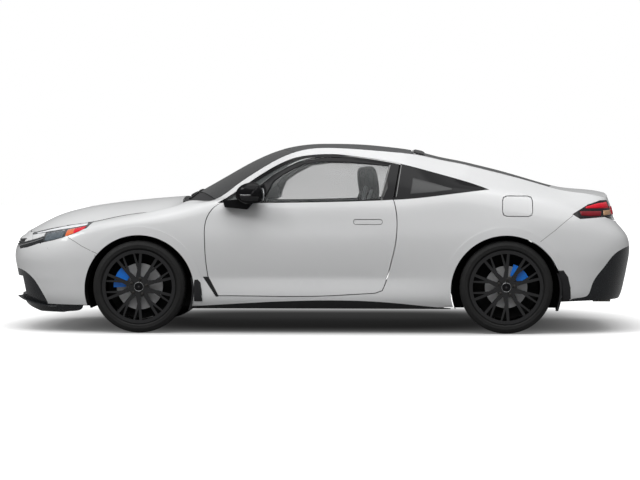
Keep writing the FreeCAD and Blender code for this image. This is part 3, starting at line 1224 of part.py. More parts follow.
def seat(middle):
    """Front seat: cushion, back, bolsters and head restraint in one closed form."""
    half = size("seat_half_width")
    top = size("floor_height") + size("floor_wall")
    side = side_view(SEAT_SHARES)
    face = face_of([[p] for p in side], lambda x, z: Vec(x, middle - half, z))
    body = face.extrude(Vec(0, 2 * half, 0))
    rest = face_of([[p] for p in side_view(HEADREST_SHARES)], lambda x, z: Vec(x, middle - half / 2, z))
    rail = box((side[0][0], side[-1][0]), (middle - half * SEAT_RAIL_SHARE, middle + half * SEAT_RAIL_SHARE),
               (top + size("seat_gap"), side[0][1]))
    return body.fuse([rest.extrude(Vec(0, half, 0)), rail])


def seats():
    middle = size("seat_middle")
    bench = face_of([[p] for p in side_view(BENCH_SHARES)], lambda x, z: Vec(x, -size("bench_half_width"), z))
    hump_top = size("floor_height") + size("tunnel_height") + size("panel_wall")
    foot = box([station(share) for share in BENCH_FOOT_SPAN_SHARES],
               (-size("bench_half_width"), size("bench_half_width")),
               (hump_top + size("seat_gap"), BENCH_FOOT_TOP_SHARE * HEIGHT))
    rear = bench.extrude(Vec(0, 2 * size("bench_half_width"), 0)).fuse(foot)
    return Part.makeCompound([seat(-middle), seat(middle), rear])


COLUMN_LEAN = math.radians(22)
RIM_SIDES = 8


def dashboard():
    half = size("dash_half_width")
    face = face_of([[p] for p in side_view(DASH_SHARES)], lambda x, z: Vec(x, -half, z))
    dash = face.extrude(Vec(0, 2 * half, 0))
    console = box([station(share) for share in CONSOLE_SPAN_SHARES],
                  (-size("console_half_width"), size("console_half_width")),
                  (size("floor_height") + size("tunnel_height") + size("panel_wall") + size("seat_gap"),
                   CONSOLE_TOP_SHARE * HEIGHT))
    middle = -size("seat_middle")
    hub = Vec(station(STEERING_HUB_SHARES[0]), middle, STEERING_HUB_SHARES[1] * HEIGHT)
    lean = Vec(math.cos(COLUMN_LEAN), 0, math.sin(COLUMN_LEAN))
    wheel = steering_ring(hub, lean)
    column = Part.makeCylinder(size("column_radius"), size("column_length"),
                               hub - lean * size("column_length"), lean)
    pad = Part.makeCylinder(size("column_radius") * 2, size("steering_rim") * 2,
                            hub - lean * size("steering_rim"), lean)
    parts = [console, wheel, column, pad]
    for angle in (0, 120, 240):
        turn = FreeCAD.Rotation(lean, angle)
        up = turn.multVec(Vec(0, 1, 0))
        parts.append(Part.makeCylinder(size("steering_rim") / 2, size("steering_radius"), hub, up))
    return dash.fuse(parts)


def steering_ring(hub, lean):
    """Rim of the steering wheel, eight-sided in section."""
    corners = []
    for step in range(RIM_SIDES + 1):
        angle = 2 * math.pi * (step + 0.5) / RIM_SIDES
        out = Vec(0, 1, 0) * (size("steering_radius") + size("steering_rim") * math.cos(angle))
        corners.append(hub + out + lean * (size("steering_rim") * math.sin(angle)))
    return Part.Face(Part.makePolygon(corners)).revolve(hub, lean, 360)


def cowl_outline(inset):
    side = along_edge(COWL_SIDE_SHARES, 8, inset)
    return lid_outline(side, COWL_MIDDLE_SHARES)


def cowl_panel():
    """Black panel at the foot of the windshield, which rests on its rear edge."""
    near = GAP + size("seat_gap")
    outline = cowl_outline(size("fender_wall") + size("seat_gap"))
    return biggest(under_top(COWL_SPAN_SHARES, 14, near, near + size("cowl_wall"), outline))


def mirror_housing():
    """Outside mirror on its foot, which stands on the door's shoulder and joins the window frame."""
    face = face_of([side_view(MIRROR_SHARES)], lambda x, z: Vec(x, -size("mirror_inner") + GAP, z))
    prism = face.extrude(Vec(0, size("mirror_inner") - size("mirror_outer") - 2 * GAP, 0))
    reach = size("mirror_outer") - size("mirror_inner")
    stretch = FreeCAD.Matrix()
    stretch.scale(*[share * reach for share in MIRROR_BULGE_SHARES])
    round_form = Part.makeSphere(1).transformGeometry(stretch)
    middle = Vec(station(MIRROR_MIDDLE_SHARES[0]), -(size("mirror_inner") + size("mirror_outer")) / 2,
                 MIRROR_MIDDLE_SHARES[1] * HEIGHT)
    round_form.translate(middle)
    shell = prism.common(round_form)
    foot = face_of([[p] for p in side_view(MIRROR_FOOT_SHARES)], lambda x, z: Vec(x, -size("mirror_foot"), z))
    foot = foot.extrude(Vec(0, size("mirror_foot") - size("mirror_inner") - GAP * 5, 0))
    turns = turns_between(MIRROR_STRETCH_SHARES, 14)
    door_body = side_skin(turns, (HANDLE_LEVELS[0], TOP_ROW), -size("seat_gap"),
                          size("outer_wall"))
    below_belt = side_prism([lifted(window_spans[2], size("seat_gap"))] + flat(*BELOW_BELT_SHARES))
    beside_glass = door_body.common(side_prism(door_glass_spans))
    return shell.fuse(foot.cut(door_body.common(below_belt)).cut(beside_glass))


def mud_flap(axle, top):
    """Left flap hanging behind a wheel, its inner edge against the wheel liner."""
    inner = size("flap_inner")
    outer = size("arch_radius") - size("seat_gap")
    width = size("flap_outer") - size("liner_reach") - size("seat_gap")
    start = Vec(axle, -size("flap_outer"), size("arch_height"))
    ring = Part.makeCylinder(outer, width, start, Vec(0, 1, 0))
    ring = ring.cut(Part.makeCylinder(inner, width, start, Vec(0, 1, 0)))
    return ring.common(box((axle, axle + WHEELBASE), (-WHOLE, 0), (FLAP_FOOT_SHARE * HEIGHT, top * HEIGHT)))


def mud_flaps():
    left = Part.makeCompound([mud_flap(FRONT_AXLE, FRONT_FLAP_TOP_SHARE),
                              mud_flap(REAR_AXLE, REAR_FLAP_TOP_SHARE)])
    return both_sides(left)


# Shares of the subframe's half width, of an arm's radius and of a disc's radius.
FRONT_AHEAD_SHARE = 0.36
FRONT_BEHIND_SHARE = 0.5
REAR_REACH_SHARE = 0.4
ARM_FOOT_SHARE = 0.9
STAY_INNER_SHARE = 0.85
HANGER_SHARE = 0.8
PIN_SHARE = 0.6
UPRIGHT_SHARE = 1.6
PAD_SHARE = 0.9
EAR_SHARE = 0.92
CALIPER_INNER_SHARE = 0.58
SILENCER_TOP_SHARE = 1.8
ENGINE_AHEAD_SHARE = 0.7


def front_suspension():
    """Subframe, lower arms, fixed strut and fork on each side, with ball joints on the steering axis."""
    steer = size("front_track") / 2 - size("steer_inset")
    hub = size("tyre_radius")
    low = hub - size("ball_drop")
    high = hub + size("ball_rise")
    half = size("subframe_half")
    strut = size("strut_middle")
    radius = size("arm_radius")
    ahead = FRONT_AXLE - half * FRONT_AHEAD_SHARE
    behind = FRONT_AXLE + half * FRONT_BEHIND_SHARE
    parts = [box((ahead, behind), (-half, half), (low - radius, low + radius))]
    for side in (-1, 1):
        inner = side * half * ARM_FOOT_SHARE
        pin = size("ball_pin")
        parts += [rod((ahead + radius, inner, low), (FRONT_AXLE, side * steer, low), radius),
                  rod((behind - radius, inner, low), (FRONT_AXLE, side * steer, low), radius),
                  rod((FRONT_AXLE, side * steer, low), (FRONT_AXLE, side * steer, low + pin),
                      radius * PIN_SHARE),
                  rod((FRONT_AXLE, side * strut, high), (FRONT_AXLE, side * steer, high), radius),
                  rod((FRONT_AXLE, side * steer, high), (FRONT_AXLE, side * steer, high - pin),
                      radius * PIN_SHARE),
                  rod((FRONT_AXLE, side * strut, low), (FRONT_AXLE, side * strut, size("strut_top")),
                      size("strut_radius")),
                  box((behind, station(FLOOR_SPAN_SHARES[0]) - size("seat_gap")),
                      sorted((inner, inner * STAY_INNER_SHARE)),
                      (low - radius, low + radius))]
    return parts[0].fuse(parts[1:])


def front_knuckle(side):
    steer = side * (size("front_track") / 2 - size("steer_inset"))
    hub = size("tyre_radius")
    pin = size("ball_pin")
    low = hub - size("ball_drop") + pin + size("seat_gap")
    high = hub + size("ball_rise") - pin - size("seat_gap")
    post = rod((FRONT_AXLE, steer, low), (FRONT_AXLE, steer, high), size("knuckle_radius"))
    face = side * (size("front_track") / 2 + size("disc_inset"))
    axle = rod((FRONT_AXLE, steer, hub), (FRONT_AXLE, face - side * size("seat_gap"), hub),
               size("hub_carrier"))
    ear_end = face + side * (size("disc_wall") / 2 - caliper_half() - size("seat_gap"))
    ear = box((FRONT_AXLE - size("front_disc_radius") * EAR_SHARE, FRONT_AXLE), sorted((steer, ear_end)),
              (hub - pin / 2, hub + pin * 2))
    return post.fuse([axle, ear])


# Degrees about the axle from straight back, over the top.
FRONT_CALIPER_TURN = 155
REAR_CALIPER_TURN = 45


def caliper_half():
    return size("disc_wall") / 2 + size("caliper_gap") + size("caliper_wall")


def caliper(axle, track, radius, side, turn):
    """Caliper bridging the disc, held at a given turn about the axle."""
    middle = track / 2 + size("disc_inset") + size("disc_wall") / 2
    half = caliper_half()
    outer = radius + size("caliper_lip")
    hub = size("tyre_radius")
    ring = Part.makeCylinder(outer, 2 * half, Vec(axle, middle - half, hub), Vec(0, 1, 0))
    inner = Part.makeCylinder(radius * CALIPER_INNER_SHARE, 2 * half, Vec(axle, middle - half, hub),
                              Vec(0, 1, 0))
    slot_half = size("disc_wall") / 2 + size("caliper_gap")
    slot = Part.makeCylinder(radius + size("caliper_gap"), 2 * slot_half, Vec(axle, middle - slot_half, hub),
                             Vec(0, 1, 0))
    wedge = [Vec(axle, middle - half, hub)]
    for angle in (turn - size("caliper_turn"), turn, turn + size("caliper_turn")):
        reach = radius * 2
        wedge.append(Vec(axle + reach * math.cos(math.radians(angle)), middle - half,
                         hub + reach * math.sin(math.radians(angle))))
    sector = Part.Face(Part.makePolygon(wedge + wedge[:1])).extrude(Vec(0, 2 * half, 0))
    body = ring.cut(inner).common(sector).cut(slot)
    return body if side > 0 else mirrored(body)


def rear_suspension():
    """Crossmember on two posts under the luggage floor, with arms and hub carriers."""
    hub = size("tyre_radius")
    low = hub - size("ball_drop")
    radius = size("arm_radius")
    half = size("subframe_half")
    face = size("rear_track") / 2 + size("disc_inset") - size("seat_gap")
    reach = half * REAR_REACH_SHARE
    bracket = size("rear_disc_radius") / 2
    disc_middle = size("rear_track") / 2 + size("disc_inset") + size("disc_wall") / 2
    pad = disc_middle - caliper_half() - size("seat_gap")
    parts = [box((REAR_AXLE - reach, REAR_AXLE + reach), (-half, half), (low - radius, low + radius))]
    for side in (-1, 1):
        inner = side * half * ARM_FOOT_SHARE
        upright = side * (size("carrier_half") + radius)
        parts += [rod((REAR_AXLE, side * size("carrier_half"), hub), (REAR_AXLE, side * face, hub),
                      size("hub_carrier")),
                  rod((REAR_AXLE, upright, low), (REAR_AXLE, upright, hub), radius * UPRIGHT_SHARE),
                  rod((REAR_AXLE + reach - radius, inner, low), (REAR_AXLE, upright, low), radius),
                  rod((REAR_AXLE - reach + radius, inner, low), (REAR_AXLE, upright, low), radius),
                  box((REAR_AXLE, REAR_AXLE + bracket + radius), sorted((upright, upright - side * radius)),
                      (hub, hub + bracket + radius)),
                  box((REAR_AXLE + bracket - radius, REAR_AXLE + bracket + radius * PAD_SHARE),
                      sorted((upright - side * radius / 2, side * pad)),
                      (hub + bracket - radius, hub + bracket + radius / 2)),
                  rod((REAR_AXLE, inner * HANGER_SHARE, low),
                      (REAR_AXLE, inner * HANGER_SHARE, size("luggage_floor") - size("seat_gap")),
                      radius * UPRIGHT_SHARE)]
    return parts[0].fuse(parts[1:])


def exhaust_path(pipe):
    """Rods of the pipe under the tunnel and over the rear axle, and of the two tips."""
    low = size("floor_height") + size("pipe_radius") * 2
    high = PIPE_HIGH_SHARE * HEIGHT
    bends = [station(share) for share in PIPE_BEND_SHARES]
    heights = [low, low, high, high]
    path = [rod((bends[i], 0, heights[i]), (bends[i + 1], 0, heights[i + 1]), pipe) for i in range(3)]
    for side in (-1, 1):
        tip = side * size("silencer_half") * STAY_INNER_SHARE
        path.append(rod((station(PIPE_TIP_SHARES[0]), tip, low), (station(PIPE_TIP_SHARES[1]), tip, low),
                        pipe))
    return path


def exhaust():
    """Pipe, rear silencer hung from the luggage floor and two tips."""
    pipe = size("pipe_radius")
    high = PIPE_HIGH_SHARE * HEIGHT
    half = size("silencer_half")
    start, end = [station(share) for share in SILENCER_SPAN_SHARES]
    silencer = box((start, end), (-half, half), (high - pipe * 3, high + pipe * SILENCER_TOP_SHARE))
    roof = size("luggage_floor") - size("seat_gap")
    hangers = []
    for out in (-half * HANGER_SHARE, half * HANGER_SHARE):
        hangers.append(rod((start + pipe, out, high), (start + pipe, out, roof), pipe / 3))
    return silencer.fuse(exhaust_path(pipe) + hangers)


def lamp_bar():
    """Light strip across the tailgate, set on its face."""
    half = size("hatch_lower_half_width") - GAP
    skin = side_skin(LAMP_BAR_TURNS, (DIFFUSER_LEVELS[1], TOP_ROW), -size("bar_wall"), -size("seat_gap"))
    band = Part.makeBox(LENGTH, 2 * half, LAMP_BAR_SHARES[1] * HEIGHT,
                        Vec(0, -half, LAMP_BAR_SHARES[0] * HEIGHT))
    return biggest(skin.common(band))


left_side = outer_body()
add_piece("body_side_left", biggest(left_side.cut(fuel_pocket())))
add_piece("body_side_right", mirrored(left_side))
fender = front_fender()
add_piece("front_fender_left", fender)
add_piece("front_fender_right", mirrored(fender))
add_piece("front_bumper", front_bumper())
add_piece("front_lower_intake", Part.makeCompound([front_lower()] + upper_grille().Solids))
add_piece("fender_vents", both_sides(fender_vent()))
add_piece("headlamps", both_sides(headlamp()))
add_piece("hood", hood())
add_piece("windshield", windshield())
add_piece("roof_panel", roof_panel())
add_piece("cowl_panel", cowl_panel())
add_piece("tailgate", tailgate())
add_piece("tailgate_glass", tailgate_glass())
add_piece("tailgate_lamp_bar", lamp_bar())
add_piece("rear_bumper", rear_bumper())
add_piece("rear_diffuser", rear_lower())
add_piece("tail_lamps", both_sides(tail_lamp()))
add_piece("quarter_windows", both_sides(quarter_window()))
add_piece("side_skirts", both_sides(skirt()))
add_piece("fuel_flap", fuel_flap())
for side, turned in (("left", lambda s: s), ("right", mirrored)):
    add_piece("door_" + side, turned(door()))
    add_piece("door_glass_" + side, turned(door_glass()))
    add_piece("door_frame_" + side, turned(door_frame().fuse(mirror_housing())))
add_piece("mud_flaps", mud_flaps())
add_piece("floor_pan", floor_pan())
add_piece("wheel_liners", wheel_liners())
add_piece("seats", seats())
add_piece("dashboard", dashboard())
add_piece("front_suspension", front_suspension())
add_piece("rear_suspension", rear_suspension())
add_piece("exhaust", exhaust())
for side, sign in (("left", -1), ("right", 1)):
    add_piece("front_knuckle_" + side, front_knuckle(sign))
    add_piece("front_caliper_" + side, caliper(FRONT_AXLE, size("front_track"), size("front_disc_radius"),
                                               sign, FRONT_CALIPER_TURN))
rear_pair = caliper(REAR_AXLE, size("rear_track"), size("rear_disc_radius"), 1, REAR_CALIPER_TURN)
add_piece("rear_calipers", both_sides(rear_pair))

block = doc.addObject("Part::Box", "engine_block")
block.Label = "engine_block"
block.setExpression("Length", "sizes.engine_length")
block.setExpression("Width", "sizes.engine_width")
block.setExpression("Height", "sizes.engine_height")
block.setExpression("Placement.Base.x", FRONT_ALONG + " - sizes.engine_length * %s" % ENGINE_AHEAD_SHARE)
block.setExpression("Placement.Base.y", "-sizes.engine_width / 2")
rest_height = "sizes.tyre_radius - sizes.ball_drop + sizes.arm_radius + sizes.seat_gap"
block.setExpression("Placement.Base.z", rest_height)
nodes.append(block)

doc.recompute()
for item in doc.Objects:
    if "Invalid" in item.State or "Error" in item.State:
        raise RuntimeError("failed object: " + item.Name)
for node in nodes:
    if node.Shape.isNull() or not node.Shape.isValid():
        raise RuntimeError("bad shape: " + node.Label)
os.makedirs("parts", exist_ok=True)
for node in nodes:
    node.Shape.exportStep("parts/%s.step" % node.Label)
print("nodes", len(nodes))
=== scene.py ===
"""Looks of a white two-door coupe with a black roof and black wheels.

Metres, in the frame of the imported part: nose towards -X, the car's left side towards -Y, +Z up.
"""
import math

import bmesh
import bpy
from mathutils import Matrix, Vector
from mathutils.bvhtree import BVHTree


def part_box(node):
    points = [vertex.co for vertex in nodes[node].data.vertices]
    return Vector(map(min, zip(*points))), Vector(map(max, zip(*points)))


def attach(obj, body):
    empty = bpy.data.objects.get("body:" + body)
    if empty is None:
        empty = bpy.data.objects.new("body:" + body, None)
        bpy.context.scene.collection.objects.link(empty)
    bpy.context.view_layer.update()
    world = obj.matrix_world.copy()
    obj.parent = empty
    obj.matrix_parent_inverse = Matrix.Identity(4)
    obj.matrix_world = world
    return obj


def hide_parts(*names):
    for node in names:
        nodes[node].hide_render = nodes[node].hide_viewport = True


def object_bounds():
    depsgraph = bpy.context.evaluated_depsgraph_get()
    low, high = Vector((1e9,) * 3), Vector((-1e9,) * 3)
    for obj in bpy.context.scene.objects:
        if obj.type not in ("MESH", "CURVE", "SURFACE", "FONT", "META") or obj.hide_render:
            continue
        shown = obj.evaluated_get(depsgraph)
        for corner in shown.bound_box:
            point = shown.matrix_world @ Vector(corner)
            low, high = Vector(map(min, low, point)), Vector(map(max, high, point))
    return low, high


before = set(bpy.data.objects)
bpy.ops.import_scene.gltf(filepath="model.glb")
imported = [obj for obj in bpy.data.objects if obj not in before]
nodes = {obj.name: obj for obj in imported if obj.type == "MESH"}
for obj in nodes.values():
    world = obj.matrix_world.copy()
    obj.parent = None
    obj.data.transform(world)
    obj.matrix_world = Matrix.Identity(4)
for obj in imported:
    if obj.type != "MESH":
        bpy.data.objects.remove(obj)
cad_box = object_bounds()
CORNERS = ("front_left", "front_right", "rear_left", "rear_right")
SIDES = ((-1, "left"), (1, "right"))


# Shader groups shared by the finishes.

def shader_group(name, inputs, outputs):
    """Empty node group with named sockets; inputs and outputs are (name, kind, default) rows."""
    group = bpy.data.node_groups.new(name, "ShaderNodeTree")
    for socket, kind, default in inputs:
        made = group.interface.new_socket(socket, in_out="INPUT", socket_type="NodeSocket" + kind)
        if default is not None:
            made.default_value = default
    for socket, kind in outputs:
        group.interface.new_socket(socket, in_out="OUTPUT", socket_type="NodeSocket" + kind)
    entry = group.nodes.new("NodeGroupInput")
    leave = group.nodes.new("NodeGroupOutput")
    return group, entry, leave


def mottle_group():
    """Two tones mixed by soft noise, for slow colour changes over a surface."""
    group, entry, leave = shader_group(
        "mottle", [("Scale", "Float", 6.0), ("Tone A", "Color", (0.5, 0.5, 0.5, 1)),
                   ("Tone B", "Color", (0.6, 0.6, 0.6, 1))], [("Color", "Color"), ("Mask", "Float")])
    place = group.nodes.new("ShaderNodeTexCoord")
    noise = group.nodes.new("ShaderNodeTexNoise")
    noise.inputs["Detail"].default_value = 6
    noise.inputs["Roughness"].default_value = 0.6
    mix = group.nodes.new("ShaderNodeMix")
    mix.data_type = "RGBA"
    group.links.new(place.outputs["Object"], noise.inputs["Vector"])
    group.links.new(entry.outputs["Scale"], noise.inputs["Scale"])
    group.links.new(noise.outputs["Fac"], mix.inputs["Factor"])
    group.links.new(entry.outputs["Tone A"], mix.inputs["A"])
    group.links.new(entry.outputs["Tone B"], mix.inputs["B"])
    group.links.new(mix.outputs["Result"], leave.inputs["Color"])
    group.links.new(noise.outputs["Fac"], leave.inputs["Mask"])
    return group


def grain_group():
    """Moulded grain: small cells over soft noise, as a height."""
    group, entry, leave = shader_group("grain", [("Scale", "Float", 900.0)], [("Height", "Float")])
    place = group.nodes.new("ShaderNodeTexCoord")
    cells = group.nodes.new("ShaderNodeTexVoronoi")
    cells.feature = "DISTANCE_TO_EDGE"
    noise = group.nodes.new("ShaderNodeTexNoise")
    blend = group.nodes.new("ShaderNodeMath")
    blend.operation = "MULTIPLY"
    for texture in (cells, noise):
        group.links.new(place.outputs["Object"], texture.inputs["Vector"])
        group.links.new(entry.outputs["Scale"], texture.inputs["Scale"])
    group.links.new(cells.outputs["Distance"], blend.inputs[0])
    group.links.new(noise.outputs["Fac"], blend.inputs[1])
    group.links.new(blend.outputs["Value"], leave.inputs["Height"])
    return group


def weave_group():
    """Crossed threads as a height, for cloth."""
    group, entry, leave = shader_group("weave", [("Scale", "Float", 900.0)], [("Height", "Float")])
    place = group.nodes.new("ShaderNodeTexCoord")
    waves = []
    for direction in ("X", "Z"):
        wave = group.nodes.new("ShaderNodeTexWave")
        wave.bands_direction = direction
        group.links.new(place.outputs["Object"], wave.inputs["Vector"])
        group.links.new(entry.outputs["Scale"], wave.inputs["Scale"])
        waves.append(wave)
    top = group.nodes.new("ShaderNodeMath")
    top.operation = "MAXIMUM"
    for i, wave in enumerate(waves):
        group.links.new(wave.outputs["Fac"], top.inputs[i])
    group.links.new(top.outputs["Value"], leave.inputs["Height"])
    return group


def turned_group():
    """Fine rings round a wheel's axle, as a height."""
    group, entry, leave = shader_group(
        "turned", [("Centre", "Vector", (0, 0, 0)), ("Ring Scale", "Float", 300.0)], [("Height", "Float")])
    place = group.nodes.new("ShaderNodeTexCoord")
    offset = group.nodes.new("ShaderNodeVectorMath")
    offset.operation = "SUBTRACT"
    flat = group.nodes.new("ShaderNodeVectorMath")
    flat.operation = "MULTIPLY"
    flat.inputs[1].default_value = (1, 0, 1)
    length = group.nodes.new("ShaderNodeVectorMath")
    length.operation = "LENGTH"
    times = group.nodes.new("ShaderNodeMath")
    times.operation = "MULTIPLY"
    noise = group.nodes.new("ShaderNodeTexNoise")
    noise.noise_dimensions = "1D"
    group.links.new(place.outputs["Object"], offset.inputs[0])
    group.links.new(entry.outputs["Centre"], offset.inputs[1])
    group.links.new(offset.outputs["Vector"], flat.inputs[0])
    group.links.new(flat.outputs["Vector"], length.inputs[0])
    group.links.new(length.outputs["Value"], times.inputs[0])
    group.links.new(entry.outputs["Ring Scale"], times.inputs[1])
    group.links.new(times.outputs["Value"], noise.inputs["W"])
    group.links.new(noise.outputs["Fac"], leave.inputs["Height"])
    return group


MOTTLE = mottle_group()
GRAIN = grain_group()
WEAVE = weave_group()
TURNED = turned_group()


class Finish:
    """A material: one Principled shader, with what feeds it added a step at a time."""

    def __init__(self, name, slot=None, **sockets):
        self.slot = slot
        self.material = bpy.data.materials.new(name)
        self.material.use_nodes = True
        self.nodes = self.material.node_tree.nodes
        self.links = self.material.node_tree.links
        self.shader = self.nodes["Principled BSDF"]
        for socket, value in sockets.items():
            self.shader.inputs[socket.replace("_", " ")].default_value = value

    def group(self, group, **values):
        made = self.nodes.new("ShaderNodeGroup")
        made.node_tree = group
        for socket, value in values.items():
            made.inputs[socket.replace("_", " ")].default_value = value
        return made

    def tones(self, scale, tone_a, tone_b):
        mottle = self.group(MOTTLE, Scale=scale, Tone_A=(*tone_a, 1), Tone_B=(*tone_b, 1))
        self.links.new(mottle.outputs["Color"], self.shader.inputs["Base Color"])
        return self

    def roughness(self, scale, low, high):
        """Roughness that drifts between two values."""
        mottle = self.group(MOTTLE, Scale=scale)
        spread = self.nodes.new("ShaderNodeMapRange")
        spread.inputs["To Min"].default_value = low
        spread.inputs["To Max"].default_value = high
        self.links.new(mottle.outputs["Mask"], spread.inputs["Value"])
        self.links.new(spread.outputs["Result"], self.shader.inputs["Roughness"])
        return self

    def bump(self, group, strength, distance, **values):
        made = self.group(group, **values)
        bump = self.nodes.new("ShaderNodeBump")
        bump.inputs["Strength"].default_value = strength
        bump.inputs["Distance"].default_value = distance
        self.links.new(made.outputs["Height"], bump.inputs["Height"])
        self.links.new(bump.outputs["Normal"], self.shader.inputs["Normal"])
        return self

    def see_through(self, clear, edge):
        """Thin glass: clear face on, closed by reflection towards the edge."""
        facing = self.nodes.new("ShaderNodeFresnel")
        facing.inputs["IOR"].default_value = 1.5
        spread = self.nodes.new("ShaderNodeMapRange")
        spread.inputs["To Min"].default_value = clear
        spread.inputs["To Max"].default_value = edge
        self.links.new(facing.outputs["Fac"], spread.inputs["Value"])
        self.links.new(spread.outputs["Result"], self.shader.inputs["Alpha"])
        return self


# Finishes of the car.
paint = Finish("pearl_white_paint", "body_paint", Specular_IOR_Level=0.35, Coat_Weight=0.5,
               Coat_Roughness=0.05)
paint.tones(3.0, (0.70, 0.705, 0.71), (0.73, 0.735, 0.74)).roughness(40.0, 0.30, 0.38)
gloss_black = Finish("gloss_black", "gloss_black", Specular_IOR_Level=0.10, Coat_Weight=0.02,
                     Coat_Roughness=0.05)
gloss_black.tones(4.0, (0.006, 0.006, 0.007), (0.009, 0.009, 0.010)).roughness(30.0, 0.10, 0.16)
roof_black = Finish("roof_black", "gloss_black", Specular_IOR_Level=0.3, Coat_Weight=0.2, Coat_Roughness=0.06)
roof_black.tones(4.0, (0.014, 0.016, 0.019), (0.020, 0.022, 0.026)).roughness(30.0, 0.14, 0.20)
black_plastic = Finish("black_plastic", "black_plastic", Specular_IOR_Level=0.3)
black_plastic.tones(12.0, (0.012, 0.012, 0.013), (0.020, 0.020, 0.022)).roughness(30.0, 0.42, 0.55)
black_plastic.bump(GRAIN, 0.2, 0.0004, Scale=700.0)
nose_black = Finish("nose_black", "black_plastic", Specular_IOR_Level=0.3, Coat_Weight=0.2,
                    Coat_Roughness=0.15)
nose_black.tones(12.0, (0.010, 0.011, 0.013), (0.018, 0.020, 0.023)).roughness(30.0, 0.22, 0.32)
side_glass = Finish("side_glass", "glass", Roughness=0.02)
side_glass.tones(2.0, (0.10, 0.11, 0.11), (0.13, 0.14, 0.14)).see_through(0.17, 0.9)
quarter_glass = Finish("quarter_glass", "glass", Specular_IOR_Level=0.15)
quarter_glass.tones(2.0, (0.055, 0.056, 0.057), (0.066, 0.067, 0.068)).roughness(20.0, 0.10, 0.18)
screen_glass = Finish("screen_glass", "glass", Roughness=0.02, Specular_IOR_Level=0.4, Coat_Weight=0.3)
screen_glass.tones(2.0, (0.008, 0.010, 0.012), (0.011, 0.013, 0.015)).see_through(0.80, 1.0)
tyre_rubber = Finish("tyre_rubber", "tyre_rubber", Specular_IOR_Level=0.25)
tyre_rubber.tones(20.0, (0.009, 0.009, 0.009), (0.019, 0.019, 0.019)).roughness(60.0, 0.52, 0.70)
tyre_rubber.bump(GRAIN, 0.15, 0.0005, Scale=500.0)
wheel_black = Finish("wheel_black", "wheel_black", Specular_IOR_Level=0.5, Coat_Weight=0.5,
                     Coat_Roughness=0.04)
wheel_black.tones(10.0, (0.004, 0.004, 0.005), (0.008, 0.008, 0.009)).roughness(40.0, 0.12, 0.20)
caliper_blue = Finish("caliper_blue", "brake_blue", Coat_Weight=0.3, Coat_Roughness=0.08)
caliper_blue.tones(20.0, (0.0, 0.20, 0.95), (0.0, 0.27, 1.0)).roughness(60.0, 0.25, 0.35)
chassis = Finish("underbody_paint", "chassis")
chassis.tones(6.0, (0.010, 0.010, 0.010), (0.020, 0.019, 0.019)).roughness(20.0, 0.60, 0.85)
chassis.bump(GRAIN, 0.3, 0.001, Scale=150.0)
liner_felt = Finish("liner_felt", "black_plastic", Specular_IOR_Level=0.2)
liner_felt.tones(40.0, (0.005, 0.005, 0.005), (0.010, 0.010, 0.010)).roughness(20.0, 0.80, 0.95)
axle_iron = Finish("axle_iron", "axle_iron", Metallic=0.6)
axle_iron.tones(25.0, (0.030, 0.029, 0.028), (0.060, 0.056, 0.052)).roughness(40.0, 0.50, 0.75)
axle_iron.bump(GRAIN, 0.35, 0.0008, Scale=300.0)
exhaust_steel = Finish("exhaust_steel", "exhaust_steel", Metallic=1.0)
exhaust_steel.tones(8.0, (0.36, 0.34, 0.31), (0.50, 0.48, 0.45)).roughness(30.0, 0.28, 0.45)
engine_metal = Finish("engine_metal", "engine_metal", Metallic=0.8)
engine_metal.tones(12.0, (0.14, 0.14, 0.145), (0.24, 0.24, 0.245)).roughness(30.0, 0.45, 0.65)
seat_cloth = Finish("seat_cloth", "seat_fabric", Sheen_Weight=0.2)
seat_cloth.tones(30.0, (0.012, 0.014, 0.016), (0.022, 0.024, 0.027)).roughness(80.0, 0.75, 0.90)
seat_cloth.bump(WEAVE, 0.4, 0.0006, Scale=350.0)
seat_insert = Finish("seat_insert", "seat_fabric", Sheen_Weight=0.3)
seat_insert.tones(30.0, (0.20, 0.22, 0.23), (0.27, 0.295, 0.305)).roughness(80.0, 0.80, 0.92)
seat_insert.bump(WEAVE, 0.5, 0.0008, Scale=220.0)
cabin_trim = Finish("cabin_trim", "cabin_trim")
cabin_trim.tones(10.0, (0.020, 0.021, 0.023), (0.032, 0.033, 0.036)).roughness(30.0, 0.55, 0.70)
cabin_trim.bump(GRAIN, 0.3, 0.0004, Scale=600.0)
lamp_dark = Finish("lamp_dark", "lamp_clear", Coat_Weight=1.0)
lamp_dark.tones(15.0, (0.008, 0.010, 0.013), (0.030, 0.036, 0.044)).roughness(30.0, 0.08, 0.20)
lamp_white = Finish("lamp_white", "lamp_clear", Coat_Weight=1.0, Coat_Roughness=0.02)
lamp_white.tones(40.0, (0.84, 0.85, 0.88), (0.92, 0.93, 0.95)).roughness(30.0, 0.15, 0.25)
lamp_mirror = Finish("lamp_mirror", "lamp_clear", Coat_Weight=0.5)
lamp_mirror.tones(55.0, (0.0, 0.004, 0.010), (0.16, 0.20, 0.23)).roughness(30.0, 0.10, 0.25)
lamp_amber = Finish("lamp_amber", "lamp_clear", Coat_Weight=1.0, Coat_Roughness=0.02)
lamp_amber.tones(60.0, (0.72, 0.10, 0.010), (0.86, 0.16, 0.020)).roughness(30.0, 0.12, 0.20)
lamp_red = Finish("lamp_red", "lamp_red", Specular_IOR_Level=0.2, Coat_Weight=0.25, Coat_Roughness=0.02)
lamp_red.tones(18.0, (0.62, 0.000, 0.012), (0.80, 0.004, 0.030)).roughness(30.0, 0.10, 0.18)
lamp_maroon = Finish("lamp_maroon", "lamp_red", Specular_IOR_Level=0.2, Coat_Weight=0.25, Coat_Roughness=0.02)
lamp_maroon.tones(40.0, (0.16, 0.004, 0.010), (0.26, 0.008, 0.018)).roughness(30.0, 0.10, 0.18)
lamp_smoke = Finish("lamp_smoke", "lamp_red", Specular_IOR_Level=0.2, Coat_Weight=0.15, Coat_Roughness=0.03)
